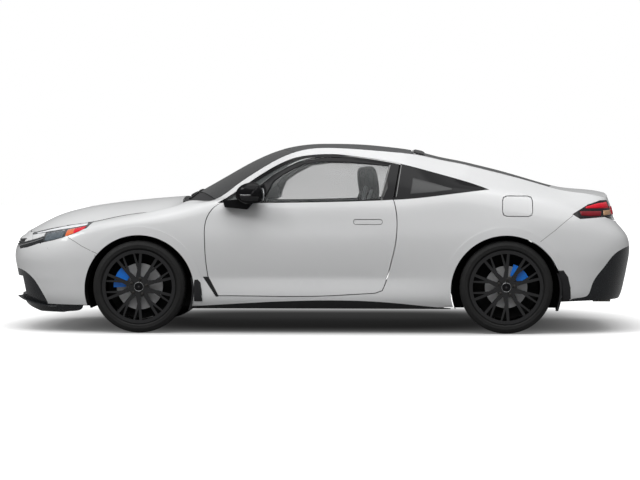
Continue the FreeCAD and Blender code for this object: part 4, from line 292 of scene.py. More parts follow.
lamp_smoke.tones(15.0, (0.008, 0.007, 0.008), (0.020, 0.014, 0.016)).roughness(30.0, 0.10, 0.20)
turn_clear = Finish("turn_clear", "lamp_clear", Coat_Weight=0.4, Coat_Roughness=0.02)
turn_clear.tones(45.0, (0.16, 0.11, 0.08), (0.85, 0.46, 0.20)).roughness(30.0, 0.12, 0.20)
satin_silver = Finish("satin_silver", "brake_steel", Metallic=1.0)
satin_silver.tones(30.0, (0.55, 0.56, 0.57), (0.68, 0.69, 0.70)).roughness(60.0, 0.22, 0.34)
mirror_face = Finish("mirror_face", "glass", Metallic=0.5)
mirror_face.tones(4.0, (0.42, 0.43, 0.44), (0.46, 0.47, 0.48)).roughness(10.0, 0.10, 0.16)
strip_grey = Finish("strip_grey", "gloss_black", Specular_IOR_Level=0.3)
strip_grey.tones(30.0, (0.22, 0.22, 0.22), (0.28, 0.28, 0.28)).roughness(20.0, 0.30, 0.40)
seam_dark = Finish("seam_dark", "black_plastic", Specular_IOR_Level=0.1)
seam_dark.tones(30.0, (0.030, 0.030, 0.030), (0.050, 0.050, 0.050)).roughness(20.0, 0.80, 0.95)


def brake_finish(corner):
    """Turned steel with rings about that wheel's own axle."""
    low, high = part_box("disc_" + corner)
    centre = (Vector(low) + Vector(high)) / 2
    disc = Finish("brake_steel_" + corner, "brake_steel", Metallic=0.3)
    disc.tones(30.0, (0.42, 0.42, 0.425), (0.56, 0.56, 0.565)).roughness(80.0, 0.32, 0.48)
    disc.bump(TURNED, 0.4, 0.0004, Centre=centre, Ring_Scale=1500.0)
    return disc


FINISHES = {
    "body_side_left": paint, "body_side_right": paint, "front_fender_left": paint,
    "front_fender_right": paint,
    "front_bumper": paint, "hood": paint, "tailgate": paint, "rear_bumper": paint, "fuel_flap": paint,
    "door_left": paint, "door_right": paint, "front_lower_intake": nose_black, "cowl_panel": black_plastic,
    "rear_diffuser": nose_black, "side_skirts": black_plastic, "mud_flaps": black_plastic,
    "fender_vents": black_plastic, "wheel_liners": liner_felt,
    "roof_panel": roof_black, "quarter_windows": gloss_black, "door_frame_left": gloss_black,
    "door_frame_right": gloss_black, "windshield": screen_glass, "tailgate_glass": screen_glass,
    "door_glass_left": side_glass, "door_glass_right": side_glass, "headlamps": lamp_dark,
    "tail_lamps": lamp_smoke, "tailgate_lamp_bar": lamp_red, "floor_pan": chassis, "seats": seat_cloth,
    "dashboard": cabin_trim, "front_suspension": axle_iron, "rear_suspension": axle_iron,
    "exhaust": exhaust_steel, "front_knuckle_left": axle_iron, "front_knuckle_right": axle_iron,
    "front_caliper_left": caliper_blue, "front_caliper_right": caliper_blue, "rear_calipers": caliper_blue,
    "engine_block": engine_metal,
}
for corner in CORNERS:
    FINISHES["tyre_" + corner] = tyre_rubber
    FINISHES["rim_" + corner] = wheel_black
    FINISHES["disc_" + corner] = brake_finish(corner)
for name, finish in FINISHES.items():
    nodes[name].data.materials.clear()
    nodes[name].data.materials.append(finish.material)


# Helpers that make pieces.

SKY = 3.0
BESIDE = 2.0
NEAR_SIDE = 1.0
NEAR_ROOF = 1.0
EDGE_LIFT_SHARE = 0.25
PATCH_EDGE_SHARE = 0.35
PATCH_RISE = 4


def placed(piece, finish, body):
    """Puts a piece in the scene with its finish, riding on a body."""
    piece.data.materials.append(finish.material)
    bpy.context.scene.collection.objects.link(piece)
    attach(piece, body)
    return piece


def new_piece(name, verts, faces, finish, body, levels=0, smooth=True):
    """Mesh piece that rides on a body, with subdivision where levels is over 0."""
    mesh = bpy.data.meshes.new(name)
    mesh.from_pydata([tuple(v) for v in verts], [], faces)
    work = bmesh.new()
    work.from_mesh(mesh)
    bmesh.ops.recalc_face_normals(work, faces=work.faces)
    for face in work.faces:
        face.smooth = smooth
    work.to_mesh(mesh)
    work.free()
    piece = bpy.data.objects.new(name, mesh)
    if levels:
        modifier = piece.modifiers.new("rounding", "SUBSURF")
        modifier.levels = levels
        modifier.render_levels = levels
    return placed(piece, finish, body)


def closed_faces(rows, columns, start=0):
    """Faces of a thin closed body whose front and back grids follow each other."""
    def at(layer, i, j):
        return start + layer * rows * columns + i * columns + j
    faces = []
    for i in range(rows - 1):
        for j in range(columns - 1):
            faces.append((at(0, i, j), at(0, i, j + 1), at(0, i + 1, j + 1), at(0, i + 1, j)))
            faces.append((at(1, i, j), at(1, i + 1, j), at(1, i + 1, j + 1), at(1, i, j + 1)))
    for j in range(columns - 1):
        for i in (0, rows - 1):
            faces.append((at(0, i, j), at(1, i, j), at(1, i, j + 1), at(0, i, j + 1)))
    for i in range(rows - 1):
        for j in (0, columns - 1):
            faces.append((at(0, i, j), at(0, i + 1, j), at(1, i + 1, j), at(1, i, j)))
    return faces


def ring_faces(rings, count, start=0):
    """Faces between rings of points that follow each other."""
    faces = []
    for ring in range(rings - 1):
        low = start + ring * count
        for n in range(count):
            m = (n + 1) % count
            faces.append((low + n, low + m, low + count + m, low + count + n))
    return faces


def tree_of(*names):
    work = bmesh.new()
    for name in names:
        work.from_mesh(nodes[name].data)
    tree = BVHTree.FromBMesh(work)
    work.free()
    return tree


def resample(points, count):
    """Points at even steps along a polyline."""
    points = [Vector(p) for p in points]
    lengths = [0.0]
    for a, b in zip(points, points[1:]):
        lengths.append(lengths[-1] + (b - a).length)
    made = []
    for i in range(count):
        want = lengths[-1] * i / (count - 1)
        k = max(j for j, length in enumerate(lengths[:-1]) if length <= want + 1e-9)
        share = (want - lengths[k]) / max(lengths[k + 1] - lengths[k], 1e-9)
        made.append(points[k].lerp(points[k + 1], min(share, 1.0)))
    return made


def side_hit(tree, x, z, side):
    """Outermost point of a surface seen from one side of the car, with its outward normal."""
    place, normal, _, _ = tree.ray_cast(Vector((x, side * BESIDE, z)), Vector((0, -side, 0)))
    if place is None:
        place, normal, _, _ = tree.find_nearest(Vector((x, side * NEAR_SIDE, z)))
    if normal.y * side < 0:
        normal = -normal
    return place, normal


def side_path(tree, line, side, count, lift):
    """Points along a line of (x, z), lifted off a side surface or sunk into it."""
    path = []
    for point in resample([(x, z, 0) for x, z in line], count):
        place, normal = side_hit(tree, point.x, point.y, side)
        path.append(place + normal * lift)
    return path


def side_band(name, upper, lower, host, finish, body, columns=28, rows=4, lift=0.0012, depth=0.003):
    """Thin band on both sides of the car, between two lines given as (x, z) in the side view.

    host and body are one for both sides, or a dictionary with one for the left and one for the right.
    """
    top = resample(upper, columns)
    bottom = resample(lower, columns)
    for side, label in SIDES:
        tree = host if isinstance(host, BVHTree) else host[label]
        front, back = [], []
        for i in range(rows):
            for a, b in zip(top, bottom):
                flat = a.lerp(b, i / (rows - 1))
                place, normal = side_hit(tree, flat[0], flat[1], side)
                edge = i in (0, rows - 1)
                front.append(place + normal * (lift * (EDGE_LIFT_SHARE if edge else 1.0)))
                back.append(place - normal * depth)
        carrier = body if isinstance(body, str) else body[label]
        new_piece("%s_%s" % (name, label), front + back, closed_faces(rows, columns), finish, carrier)


def seam(name, line, host, body, width=0.0030):
    """Shut line as a narrow dark strip that lies on the panels along a line of (x, z) points."""
    upper = [(x, z + width / 2) for x, z in line]
    lower = [(x, z - width / 2) for x, z in line]
    side_band(name, upper, lower, host, seam_dark, body, columns=24, rows=2, lift=0.0012, depth=0.0015)


def top_patch(name, corners, host, finish, body, lift, columns=8, rows=30, depth=0.003):
    """Slab that lies on top of a surface between (x, y) corners given front left, rear left, rear right."""
    (x0, y0), (x1, _), (_, y1) = corners
    top, bottom = [], []
    for i in range(rows):
        for j in range(columns):
            x = x0 + (x1 - x0) * j / (columns - 1)
            y = y0 + (y1 - y0) * i / (rows - 1)
            place = top_hit(host, x, y)
            inward = min(j, columns - 1 - j) / (columns - 1)
            rounded = min(1.0, PATCH_EDGE_SHARE + PATCH_RISE * inward)
            top.append(place + Vector((0, 0, lift * rounded)))
            bottom.append(place - Vector((0, 0, depth)))
    return new_piece(name, top + bottom, closed_faces(rows, columns), finish, body)


def top_hit(tree, x, y):
    """Highest point of a surface at a place in plan."""
    place, _, _, _ = tree.ray_cast(Vector((x, y, SKY)), Vector((0, 0, -1)))
    if place is None:
        place, _, _, _ = tree.find_nearest(Vector((x, y, NEAR_ROOF)))
    return place


def uncut(radius, out, step):
    return radius


def lathe(name, profile, centre, outward, finish, body, segments, cut=uncut):
    """Closed ring about a wheel's axle from rows of (radius, distance outboard).

    cut gives the radius of a row at a step round the ring.
    """
    verts, faces = [], []
    count = len(profile)
    for i in range(segments):
        angle = 2 * math.pi * i / segments
        for radius, out in profile:
            reach = cut(radius, out, i)
            verts.append(Vector((centre[0] + reach * math.cos(angle), centre[1] + outward * out,
                                 centre[2] + reach * math.sin(angle))))
    for i in range(segments):
        j = (i + 1) % segments
        for k in range(count):
            m = (k + 1) % count
            faces.append((i * count + k, i * count + m, j * count + m, j * count + k))
    return new_piece(name, verts, faces, finish, body)


TUBE_RESOLUTION = 2


def tube(name, points, radius, finish, body):
    """Round bar along a smooth line that points steer."""
    curve = bpy.data.curves.new(name, "CURVE")
    curve.dimensions = "3D"
    curve.bevel_depth = radius
    curve.bevel_resolution = TUBE_RESOLUTION
    curve.use_fill_caps = True
    spline = curve.splines.new("NURBS")
    spline.points.add(len(points) - 1)
    for item, point in zip(spline.points, points):
        item.co = (*point, 1)
    spline.order_u = min(4, len(points))
    spline.use_endpoint_u = True
    return placed(bpy.data.objects.new(name, curve), finish, body)


# Wheels: tyres with tread and sidewall ribs, centre caps, wheel nuts and splash shields, the shields widened
# into a dark sheet that stands in as painted shade seen through the wheels.

CROWN_RADIUS = 0.3309
CROWN_FALL = 0.0035
TREAD_HALF = 0.094
TREAD_STEPS = 48
TREAD_FOOT = 0.3255
TYRE_SEGMENTS = 180

# Grooves round the tyre: their middles, half widths and depth; then cuts across the shoulder and the ribs.
GROOVES = ((0.0, 0.0045), (0.034, 0.0045), (0.066, 0.0045))
GROOVE_DEPTH = 0.0065
SHOULDER_START = 0.070
SHOULDER_EVERY = 4
SHOULDER_DEPTH = 0.0055
SIPE_START = 0.010
SIPE_EVERY = 5
SIPE_DEPTH = 0.0045
SIPE_SLANT = 260


def tyre_profile():
    """Section of a road tyre as (radius, distance from its middle), outboard side last."""
    tread = []
    for i in range(TREAD_STEPS + 1):
        out = -TREAD_HALF + 2 * TREAD_HALF * i / TREAD_STEPS
        tread.append((CROWN_RADIUS - CROWN_FALL * (abs(out) / TREAD_HALF) ** 3, out))
    shoulder = [(0.3245, 0.1005), (0.3180, 0.1055), (0.3120, 0.1090), (0.3105, 0.1102), (0.3085, 0.1106),
                (0.3060, 0.1124), (0.2990, 0.1150), (0.2975, 0.1160), (0.2955, 0.1160), (0.2940, 0.1157),
                (0.2860, 0.1160), (0.2790, 0.1146), (0.2775, 0.1150), (0.2760, 0.1148), (0.2745, 0.1136),
                (0.2690, 0.1105), (0.2640, 0.1050), (0.2600, 0.1000), (0.2560, 0.0960)]
    inner_wall = [(0.2570, 0.0900), (0.2900, 0.1030), (0.3150, 0.0900)]
    outer = [(r, -d) for r, d in reversed(shoulder)] + tread + shoulder
    return outer + inner_wall + [(0.3200, 0.0)] + [(r, -d) for r, d in reversed(inner_wall)]


def groove_depth(out, step):
    """How deep the tread is cut at a distance from its middle and a step round the tyre."""
    for middle, half in GROOVES:
        if abs(abs(out) - middle) < half:
            return GROOVE_DEPTH
    if abs(out) > SHOULDER_START:
        return SHOULDER_DEPTH if step % SHOULDER_EVERY == 0 else 0.0
    slant = int(round(abs(out) * SIPE_SLANT))
    sipe = abs(out) > SIPE_START and (step + slant) % SIPE_EVERY == 0
    return SIPE_DEPTH if sipe else 0.0


def treaded(radius, out, step):
    """Radius of the tyre with its tread cut in."""
    if abs(out) <= TREAD_HALF and radius > TREAD_FOOT:
        return radius - groove_depth(out, step)
    return radius


def make_tyre(corner, centre, outward, body):
    name = "road_tyre_" + corner
    tyre = lathe(name, tyre_profile(), centre, outward, tyre_rubber, body, TYRE_SEGMENTS, treaded)
    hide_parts("tyre_" + corner)


# Rows of (radius, distance outboard) from the rim's face; a nut's rows are (distance outboard, radius).
CAP_PROFILE = [(0.0, 0.006), (0.012, 0.0058), (0.024, 0.0045), (0.029, 0.0030), (0.0315, 0.0),
               (0.0315, -0.004), (0.0, -0.004)]
CAP_RING_PROFILE = [(0.0335, -0.003), (0.0335, 0.0022), (0.0320, 0.0032), (0.0305, 0.0022), (0.0305, -0.003)]
NUT_ROWS = ((-0.002, 0.0125), (0.004, 0.0125), (0.012, 0.0105), (0.016, 0.0080), (0.0175, 0.0))
NUT_CIRCLE = 0.057
NUT_COUNT = 5
FIRST_NUT = math.radians(82)
NUT_SIDES = 6
PROBE_START = 0.4
PROBE_DEPTH = 0.3


def wheel_trim(corner, centre, outward, body):
    """Blank centre cap with its ring and five nuts, each set on the rim's own face."""
    rim = tree_of("rim_" + corner)

    def face_at(radius, angle):
        start = Vector((centre[0] + radius * math.cos(angle), centre[1] + outward * PROBE_START,
                        centre[2] + radius * math.sin(angle)))
        place, _, _, _ = rim.ray_cast(start, Vector((0, -outward, 0)))
        return place if place is not None else start - Vector((0, outward * PROBE_DEPTH, 0))

    hub = face_at(0.0, 0.0)
    lathe("centre_cap_" + corner, CAP_PROFILE, hub, outward, gloss_black, body, segments=40)
    lathe("cap_ring_" + corner, CAP_RING_PROFILE, hub, outward, satin_silver, body, segments=48)
    verts, faces = [], []
    for k in range(NUT_COUNT):
        angle = FIRST_NUT + 2 * math.pi * k / NUT_COUNT
        seat = face_at(NUT_CIRCLE, angle)
        first = len(verts)
        for out, radius in NUT_ROWS:
            for n in range(NUT_SIDES):
                turn = angle + 2 * math.pi * n / NUT_SIDES
                verts.append((seat.x + radius * math.cos(turn), seat.y + outward * out,
                              seat.z + radius * math.sin(turn)))
        faces += ring_faces(len(NUT_ROWS), NUT_SIDES, first)
    new_piece("wheel_nuts_" + corner, verts, faces, axle_iron, body, smooth=False)


# Nearly as wide as the rim's inner barrel and wider than a real splash shield: its dark face is painted shade
# for the view through the wheel under the car.
SHIELD_RADIUS = 0.229
SHIELD_BEHIND = 0.026
SHIELD_PROFILE = [(0.045, -0.0020), (0.150, -0.0020), (0.160, 0.0010), (SHIELD_RADIUS - 0.004, 0.0010),
                  (SHIELD_RADIUS, 0.0060), (SHIELD_RADIUS + 0.0015, 0.0050),
                  (SHIELD_RADIUS - 0.003, -0.0010), (0.045, -0.0040)]


def splash_shield_and_shade(corner, centre, outward, body):
    """Dished splash shield that stands still behind the brake disc, widened so that its dark face is painted
    shade filling the view through the wheel.
    """
    low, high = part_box("disc_" + corner)
    face = min(abs(low[1]), abs(high[1])) - SHIELD_BEHIND
    middle = Vector((centre[0], outward * face, centre[2]))
    lathe("splash_shield_and_shade_" + corner, SHIELD_PROFILE, middle, outward, liner_felt, body, segments=72)


for corner in CORNERS:
    low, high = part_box("tyre_" + corner)
    middle = (Vector(low) + Vector(high)) / 2
    outward = -1 if corner.endswith("left") else 1
    carrier = "knuckle_" + corner.split("_")[1] if corner.startswith("front") else "root"
    make_tyre(corner, middle, outward, "wheel_" + corner)
    wheel_trim(corner, middle, outward, "wheel_" + corner)
    splash_shield_and_shade(corner, middle, outward, carrier)


# Headlamps: white light guide, cells behind the lens, a two-colour side marker and the painted nose below.
headlamp_tree = tree_of("headlamps")
side_band("headlamp_guide", [(-2.030, 0.704), (-1.900, 0.735), (-1.760, 0.764), (-1.640, 0.782)],
          [(-2.022, 0.700), (-1.947, 0.714), (-1.845, 0.731), (-1.754, 0.746), (-1.640, 0.768)],
          headlamp_tree,
          lamp_white, "root", columns=60, rows=8, lift=0.0040)
side_band("headlamp_cells", [(-1.940, 0.706), (-1.874, 0.718), (-1.800, 0.730)],
          [(-1.950, 0.652), (-1.885, 0.648), (-1.820, 0.662)], headlamp_tree, lamp_mirror, "root", columns=40,
          rows=12, lift=0.0020)
side_band("side_marker", [(-1.778, 0.734), (-1.725, 0.744)], [(-1.795, 0.674), (-1.735, 0.694)],
          headlamp_tree,
          lamp_amber, "root", columns=24, rows=12, lift=0.0025)
side_band("side_reflector", [(-1.724, 0.744), (-1.640, 0.760)], [(-1.734, 0.695), (-1.655, 0.738)],
          headlamp_tree,
          lamp_red, "root", columns=24, rows=12, lift=0.0025)
side_band("lamp_nose", [(-2.062, 0.691), (-2.010, 0.700), (-1.956, 0.709)],
          [(-2.056, 0.657), (-2.010, 0.668), (-1.960, 0.684)], tree_of("headlamps", "front_bumper", "hood"),
          paint,
          "root", columns=20, rows=10, lift=0.0028)

# Upper grille: its dark slot runs out to the headlamps, with one bright line along it.
nose_tree = tree_of("front_bumper", "headlamps", "front_lower_intake", "hood")
side_band("grille_wing", [(-2.186, 0.626), (-2.094, 0.648), (-2.024, 0.663), (-1.958, 0.683)],
          [(-2.160, 0.590), (-2.087, 0.604), (-2.019, 0.625), (-1.950, 0.648)], nose_tree, nose_black, "root",
          columns=50, rows=10, lift=0.0030)
GRILLE_LINE = [(-2.190, 0.606), (-2.090, 0.628), (-2.021, 0.646), (-1.962, 0.665)]
GRILLE_LINE_LIFT = 0.005
GRILLE_LINE_RADIUS = 0.0035
for side, label in SIDES:
    path = side_path(nose_tree, GRILLE_LINE, side, 24, GRILLE_LINE_LIFT)
    tube("grille_line_" + label, path, GRILLE_LINE_RADIUS, satin_silver, "root")

# Front splitter: a thin blade that stands ahead of the chin, lower towards the wheels.
chin_tree = tree_of("front_lower_intake", "front_bumper")
SPLITTER_HALF = 0.800
SPLITTER_REACH = 0.042
SPLITTER_THICK = 0.012
SPLITTER_ROWS = 61
SPLITTER_STEPS = (0.0, 0.3, 1.0, 2.0)
SPLITTER_TAPER = 0.004
SPLITTER_HEIGHT = 0.250
SPLITTER_DROP = 0.080
DROP_START = 0.45
DROP_WIDTH = 0.41
AHEAD_OF_NOSE = -3.0
NOSE_PLACE = -2.0
NOSE_END = -1.5
BOX_MARGIN = 0.002
top, bottom = [], []
for i in range(SPLITTER_ROWS):
    y = SPLITTER_HALF * (2 * i / (SPLITTER_ROWS - 1) - 1)
    share = min(1.0, max(0.0, (abs(y) - DROP_START) / DROP_WIDTH))
    z = SPLITTER_HEIGHT - SPLITTER_DROP * share
    place, _, _, _ = chin_tree.ray_cast(Vector((AHEAD_OF_NOSE, y, z)), Vector((1, 0, 0)))
    if place is None or place.x > NOSE_END:
        place, _, _, _ = chin_tree.find_nearest(Vector((NOSE_PLACE, y, z)))
    edge = max(place.x - SPLITTER_REACH, cad_box[0][0] + BOX_MARGIN)
    for back in SPLITTER_STEPS:
        fall = SPLITTER_TAPER * (1 - min(1.0, back))
        x = edge + SPLITTER_REACH * back
        top.append(Vector((x, y, z + SPLITTER_THICK / 2 - fall)))
        bottom.append(Vector((x, y, z - SPLITTER_THICK / 2 + fall)))
new_piece("front_splitter", top + bottom, closed_faces(SPLITTER_ROWS, len(SPLITTER_STEPS)), nose_black,
          "root")

# Tail lamps: bright upper band, darker lower band and a clear rear corner.
tail_tree = tree_of("tail_lamps")
side_band("tail_upper", [(1.915, 0.900), (2.000, 0.922), (2.120, 0.938)],
          [(1.915, 0.888), (2.000, 0.888), (2.130, 0.886)], tail_tree, lamp_red, "root", columns=24)
side_band("tail_lower", [(1.870, 0.868), (1.950, 0.868), (2.030, 0.868)],
          [(1.880, 0.838), (1.950, 0.832), (2.025, 0.834)], tail_tree, lamp_maroon, "root", columns=20)
side_band("tail_turn", [(2.045, 0.872), (2.120, 0.876)], [(2.045, 0.836), (2.105, 0.842)], tail_tree,
          turn_clear,
          "root", columns=16, rows=6, lift=0.002)

# Door mirrors: a thin bright line, a satin lower shell and the glass that looks back.
frame_trees = {label: tree_of("door_frame_" + label) for _, label in SIDES}
door_bodies = {label: "door_" + label for _, label in SIDES}
MIRROR_LINE = [(-0.524, 0.984), (-0.455, 0.983), (-0.396, 0.980)]
MIRROR_LINE_SINK = 0.0035
MIRROR_LINE_RADIUS = 0.0045
for side, label in SIDES:
    path = side_path(frame_trees[label], MIRROR_LINE, side, 20, -MIRROR_LINE_SINK)
    tube("mirror_strip_" + label, path, MIRROR_LINE_RADIUS, satin_silver, "door_" + label)
side_band("mirror_shell", [(-0.528, 0.978), (-0.455, 0.975), (-0.388, 0.972)],
          [(-0.512, 0.946), (-0.455, 0.942), (-0.400, 0.944)], frame_trees, black_plastic, door_bodies,
          columns=24,
          rows=8, lift=0.0015)
MIRROR_FACE = (-0.366, 0.958, 0.988)
MIRROR_HALF = (0.066, 0.044)
MIRROR_TURN = math.radians(12)
MIRROR_RINGS = ((0.0015, 0.90), (0.0, 1.0), (-0.006, 1.0))
MIRROR_POINTS = 40
MIRROR_TAPER = 0.12
for side, label in SIDES:
    verts = []
    for back, grow in MIRROR_RINGS:
        for n in range(MIRROR_POINTS):
            turn = 2 * math.pi * n / MIRROR_POINTS
            across = MIRROR_HALF[0] * grow * math.cos(turn)
            up = MIRROR_HALF[1] * grow * math.sin(turn) * (1 - MIRROR_TAPER * math.cos(turn))
            verts.append((MIRROR_FACE[0] + back * math.cos(MIRROR_TURN) + across * math.sin(MIRROR_TURN),
                          side * (MIRROR_FACE[1] + across * math.cos(MIRROR_TURN)), MIRROR_FACE[2] + up))
    faces = [tuple(range(MIRROR_POINTS)), tuple(range(2 * MIRROR_POINTS, 3 * MIRROR_POINTS))]
    faces += ring_faces(len(MIRROR_RINGS), MIRROR_POINTS)
    new_piece("mirror_glass_" + label, verts, faces, mirror_face, "door_" + label)

# Windows: black border on each door glass, post strips, the quarter windows' panes and the doors' handles.
window_trees = {label: tree_of("door_glass_" + label, "door_frame_" + label) for _, label in SIDES}
side_band("glass_border", [(-0.462, 0.975), (-0.405, 1.045), (-0.310, 1.125), (-0.150, 1.212), (0.050, 1.250),
                           (0.220, 1.250), (0.400, 1.230), (0.530, 1.205)],
          [(-0.350, 0.972), (-0.300, 1.080), (-0.215, 1.138), (-0.095, 1.198), (0.045, 1.216), (0.215, 1.213),
           (0.390, 1.200), (0.524, 1.186)], window_trees, gloss_black, door_bodies, columns=70, rows=8,
           lift=0.0015)
side_band("post_strip", [(0.520, 1.196), (0.532, 1.196)], [(0.459, 0.962), (0.470, 0.962)], frame_trees,
          strip_grey, door_bodies, columns=4, rows=40, lift=0.0020)
quarter_tree = tree_of("quarter_windows")
side_band("quarter_pane", [(0.690, 1.106), (0.840, 1.066), (0.972, 1.027)],
          [(0.672, 0.984), (0.830, 0.998), (0.968, 1.019)], quarter_tree, quarter_glass, "root", columns=40,
          rows=12,
          lift=0.0020)
side_band("quarter_strip", [(0.606, 1.196), (0.611, 1.196)], [(0.571, 0.968), (0.576, 0.968)], quarter_tree,
          strip_grey, "root", columns=4, rows=40, lift=0.0020)

# Shut lines that the small gaps of the panels alone don't show.
panel_tree = tree_of("front_bumper", "front_fender_left", "front_fender_right", "rear_bumper",
                     "body_side_left",
                     "body_side_right")
seam("bumper_seam", [(-1.768, 0.678), (-1.713, 0.649), (-1.661, 0.617), (-1.602, 0.588), (-1.550, 0.566)],
     panel_tree, "root")
seam("rear_seam", [(1.821, 0.838), (1.763, 0.793), (1.699, 0.738), (1.643, 0.695), (1.590, 0.655)],
     panel_tree,
     "root")
HANDLE_CENTRE = (0.3735, 0.7925)
HANDLE_HALF = 0.0850
HANDLE_RADIUS = 0.0180
HANDLE_POINTS = 48
HANDLE_LINE_RADIUS = 0.0016
handle_line = []
for n in range(HANDLE_POINTS):
    turn = 2 * math.pi * n / HANDLE_POINTS
    shift = HANDLE_HALF if math.cos(turn) >= 0 else -HANDLE_HALF
    handle_line.append((HANDLE_CENTRE[0] + shift + HANDLE_RADIUS * math.cos(turn),
                        HANDLE_CENTRE[1] + HANDLE_RADIUS * math.sin(turn)))
handle_line.append(handle_line[0])
door_trees = {label: tree_of("door_" + label) for _, label in SIDES}
for side, label in SIDES:
    path = [side_hit(door_trees[label], x, z, side)[0] for x, z in handle_line]
    tube("handle_line_" + label, path, HANDLE_LINE_RADIUS, seam_dark, "door_" + label)

# Shut lines along the two long edges of the hood.
hood_tree = tree_of("hood")
hood_low, hood_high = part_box("hood")
HOOD_EDGE_STEP = 0.002
HOOD_LINE_START = 0.28
HOOD_LINE_SPAN = 0.68
HOOD_LINE_POINTS = 40
HOOD_LINE_RADIUS = 0.0022


def hood_edge(x, side):
    """Place just outside the hood's long edge at a distance along the car."""
    y = hood_high[1] + HOOD_EDGE_STEP
    while y > 0:
        place, _, _, _ = hood_tree.ray_cast(Vector((x, side * y, SKY)), Vector((0, 0, -1)))
        if place is not None:
            return Vector((x, side * (y + HOOD_EDGE_STEP), place.z - HOOD_EDGE_STEP / 2))
        y -= HOOD_EDGE_STEP
    return Vector((x, 0, hood_high[2]))


for side, label in SIDES:
    line = []
    for i in range(HOOD_LINE_POINTS):
        share = HOOD_LINE_START + HOOD_LINE_SPAN * i / (HOOD_LINE_POINTS - 1)
        line.append(hood_edge(hood_low[0] + (hood_high[0] - hood_low[0]) * share, side))
    tube("hood_line_" + label, line, HOOD_LINE_RADIUS, seam_dark, "root")

# Mud guards on the panels' edges behind the rear and the front wheels.
guard_tree = tree_of("rear_bumper", "body_side_left", "body_side_right")
side_band("rear_mud_guard", [(1.754, 0.452), (1.786, 0.405), (1.803, 0.330), (1.808, 0.235)],
          [(1.720, 0.450), (1.726, 0.400), (1.733, 0.330), (1.740, 0.232)], guard_tree, black_plastic, "root",
          columns=40, rows=8, lift=0.0045)
side_band("front_mud_guard", [(-0.835, 0.382), (-0.815, 0.360), (-0.806, 0.300), (-0.803, 0.228)],
          [(-0.858, 0.380), (-0.862, 0.355), (-0.862, 0.300), (-0.862, 0.228)],
          tree_of("front_fender_left", "front_fender_right", "body_side_left", "body_side_right"),
          black_plastic,
          "root", columns=30, rows=8, lift=0.0045)

# Raised trim across the head of the tailgate, and the wipers at the foot of the windshield.
gate_tree = tree_of("tailgate", "tailgate_glass")
TRIM_RISE = 0.011
top_patch("gate_trim", [(0.692, -0.60), (0.774, 0), (0, 0.60)], gate_tree, gloss_black, "tailgate",
          TRIM_RISE)
screen_tree = tree_of("windshield", "cowl_panel", "hood")
WIPERS = {"driver": ([(-0.925, -0.58), (-0.897, -0.30), (-0.885, 0.00)], (-0.962, -0.05)),
          "passenger": ([(-0.885, 0.07), (-0.897, 0.33), (-0.925, 0.58)], (-0.962, 0.56))}
BLADE_RISE = 0.007
BLADE_RADIUS = 0.006
ARM_RISE = 0.012
ARM_RADIUS = 0.007
KNEE_SHARE = 0.3
KNEE_RISE = 0.004
for label, (blade, pivot) in WIPERS.items():
    line = []
    for point in resample([(x, y, 0) for x, y in blade], 12):
        line.append(top_hit(screen_tree, point.x, point.y) + Vector((0, 0, BLADE_RISE)))
    tube("wiper_blade_" + label, line, BLADE_RADIUS, black_plastic, "root")
    centre = line[len(line) // 2] + Vector((0, 0, ARM_RISE - BLADE_RISE))
    foot = top_hit(screen_tree, *pivot) + Vector((0, 0, BLADE_RISE))
    knee = foot.lerp(centre, KNEE_SHARE) + Vector((0, 0, KNEE_RISE))
    tube("wiper_arm_" + label, [foot, knee, centre], ARM_RADIUS, black_plastic, "root")


# Seats as stuffed pieces on the places of the CAD seats.

PAD_POWER = 4.5
PAD_CROWN = 0.12
PAD_STEPS = 16
PAD_PULL = 0.035
CHANNEL_FACE = 0.3


def pad(name, centre, half, tilt, finish, channels=()):
    """Crowned cushion: a rounded box whose sides pull in between its corners, with sewn channels on its face.

    tilt turns it about the car's crosswise axis; the face with the channels looks along its own +Z.
    """
    verts, faces, index = [], [], {}

    def vertex(key):
        if key not in index:
            index[key] = len(verts)
            verts.append(shaped(*[2 * c / PAD_STEPS - 1 for c in key]))
        return index[key]

    def shaped(x, y, z):
        reach = sum(abs(c) ** PAD_POWER for c in (x, y, z)) ** (1 / PAD_POWER)
        x, y, z = x / reach, y / reach, z / reach
        pull = 1 - PAD_PULL * (1 - x * x) * y * y - PAD_PULL * (1 - y * y) * x * x
        swell = 1 + PAD_CROWN * (1 - x * x) * (1 - y * y)
        point = Vector((x * half[0] * pull, y * half[1] * pull, z * half[2] * swell))
        if z > CHANNEL_FACE:
            for across, width, deep in channels:
                point.z -= deep * math.exp(-((y - across) / width) ** 2) * (1 - abs(x) ** 6)
        turned = Vector((point.x * math.cos(tilt) + point.z * math.sin(tilt), point.y,
                         -point.x * math.sin(tilt) + point.z * math.cos(tilt)))
        return Vector(centre) + turned

    for axis in range(3):
        for end in (0, PAD_STEPS):
            for i in range(PAD_STEPS):
                for j in range(PAD_STEPS):
                    keys = []
                    for a, b in ((i, j), (i + 1, j), (i + 1, j + 1), (i, j + 1)):
                        key = [a, b]
                        key.insert(axis, end)
                        keys.append(vertex(tuple(key)))
                    faces.append(tuple(keys))
    made = new_piece(name, verts, faces, finish, "root", levels=1)
    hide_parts("seats")


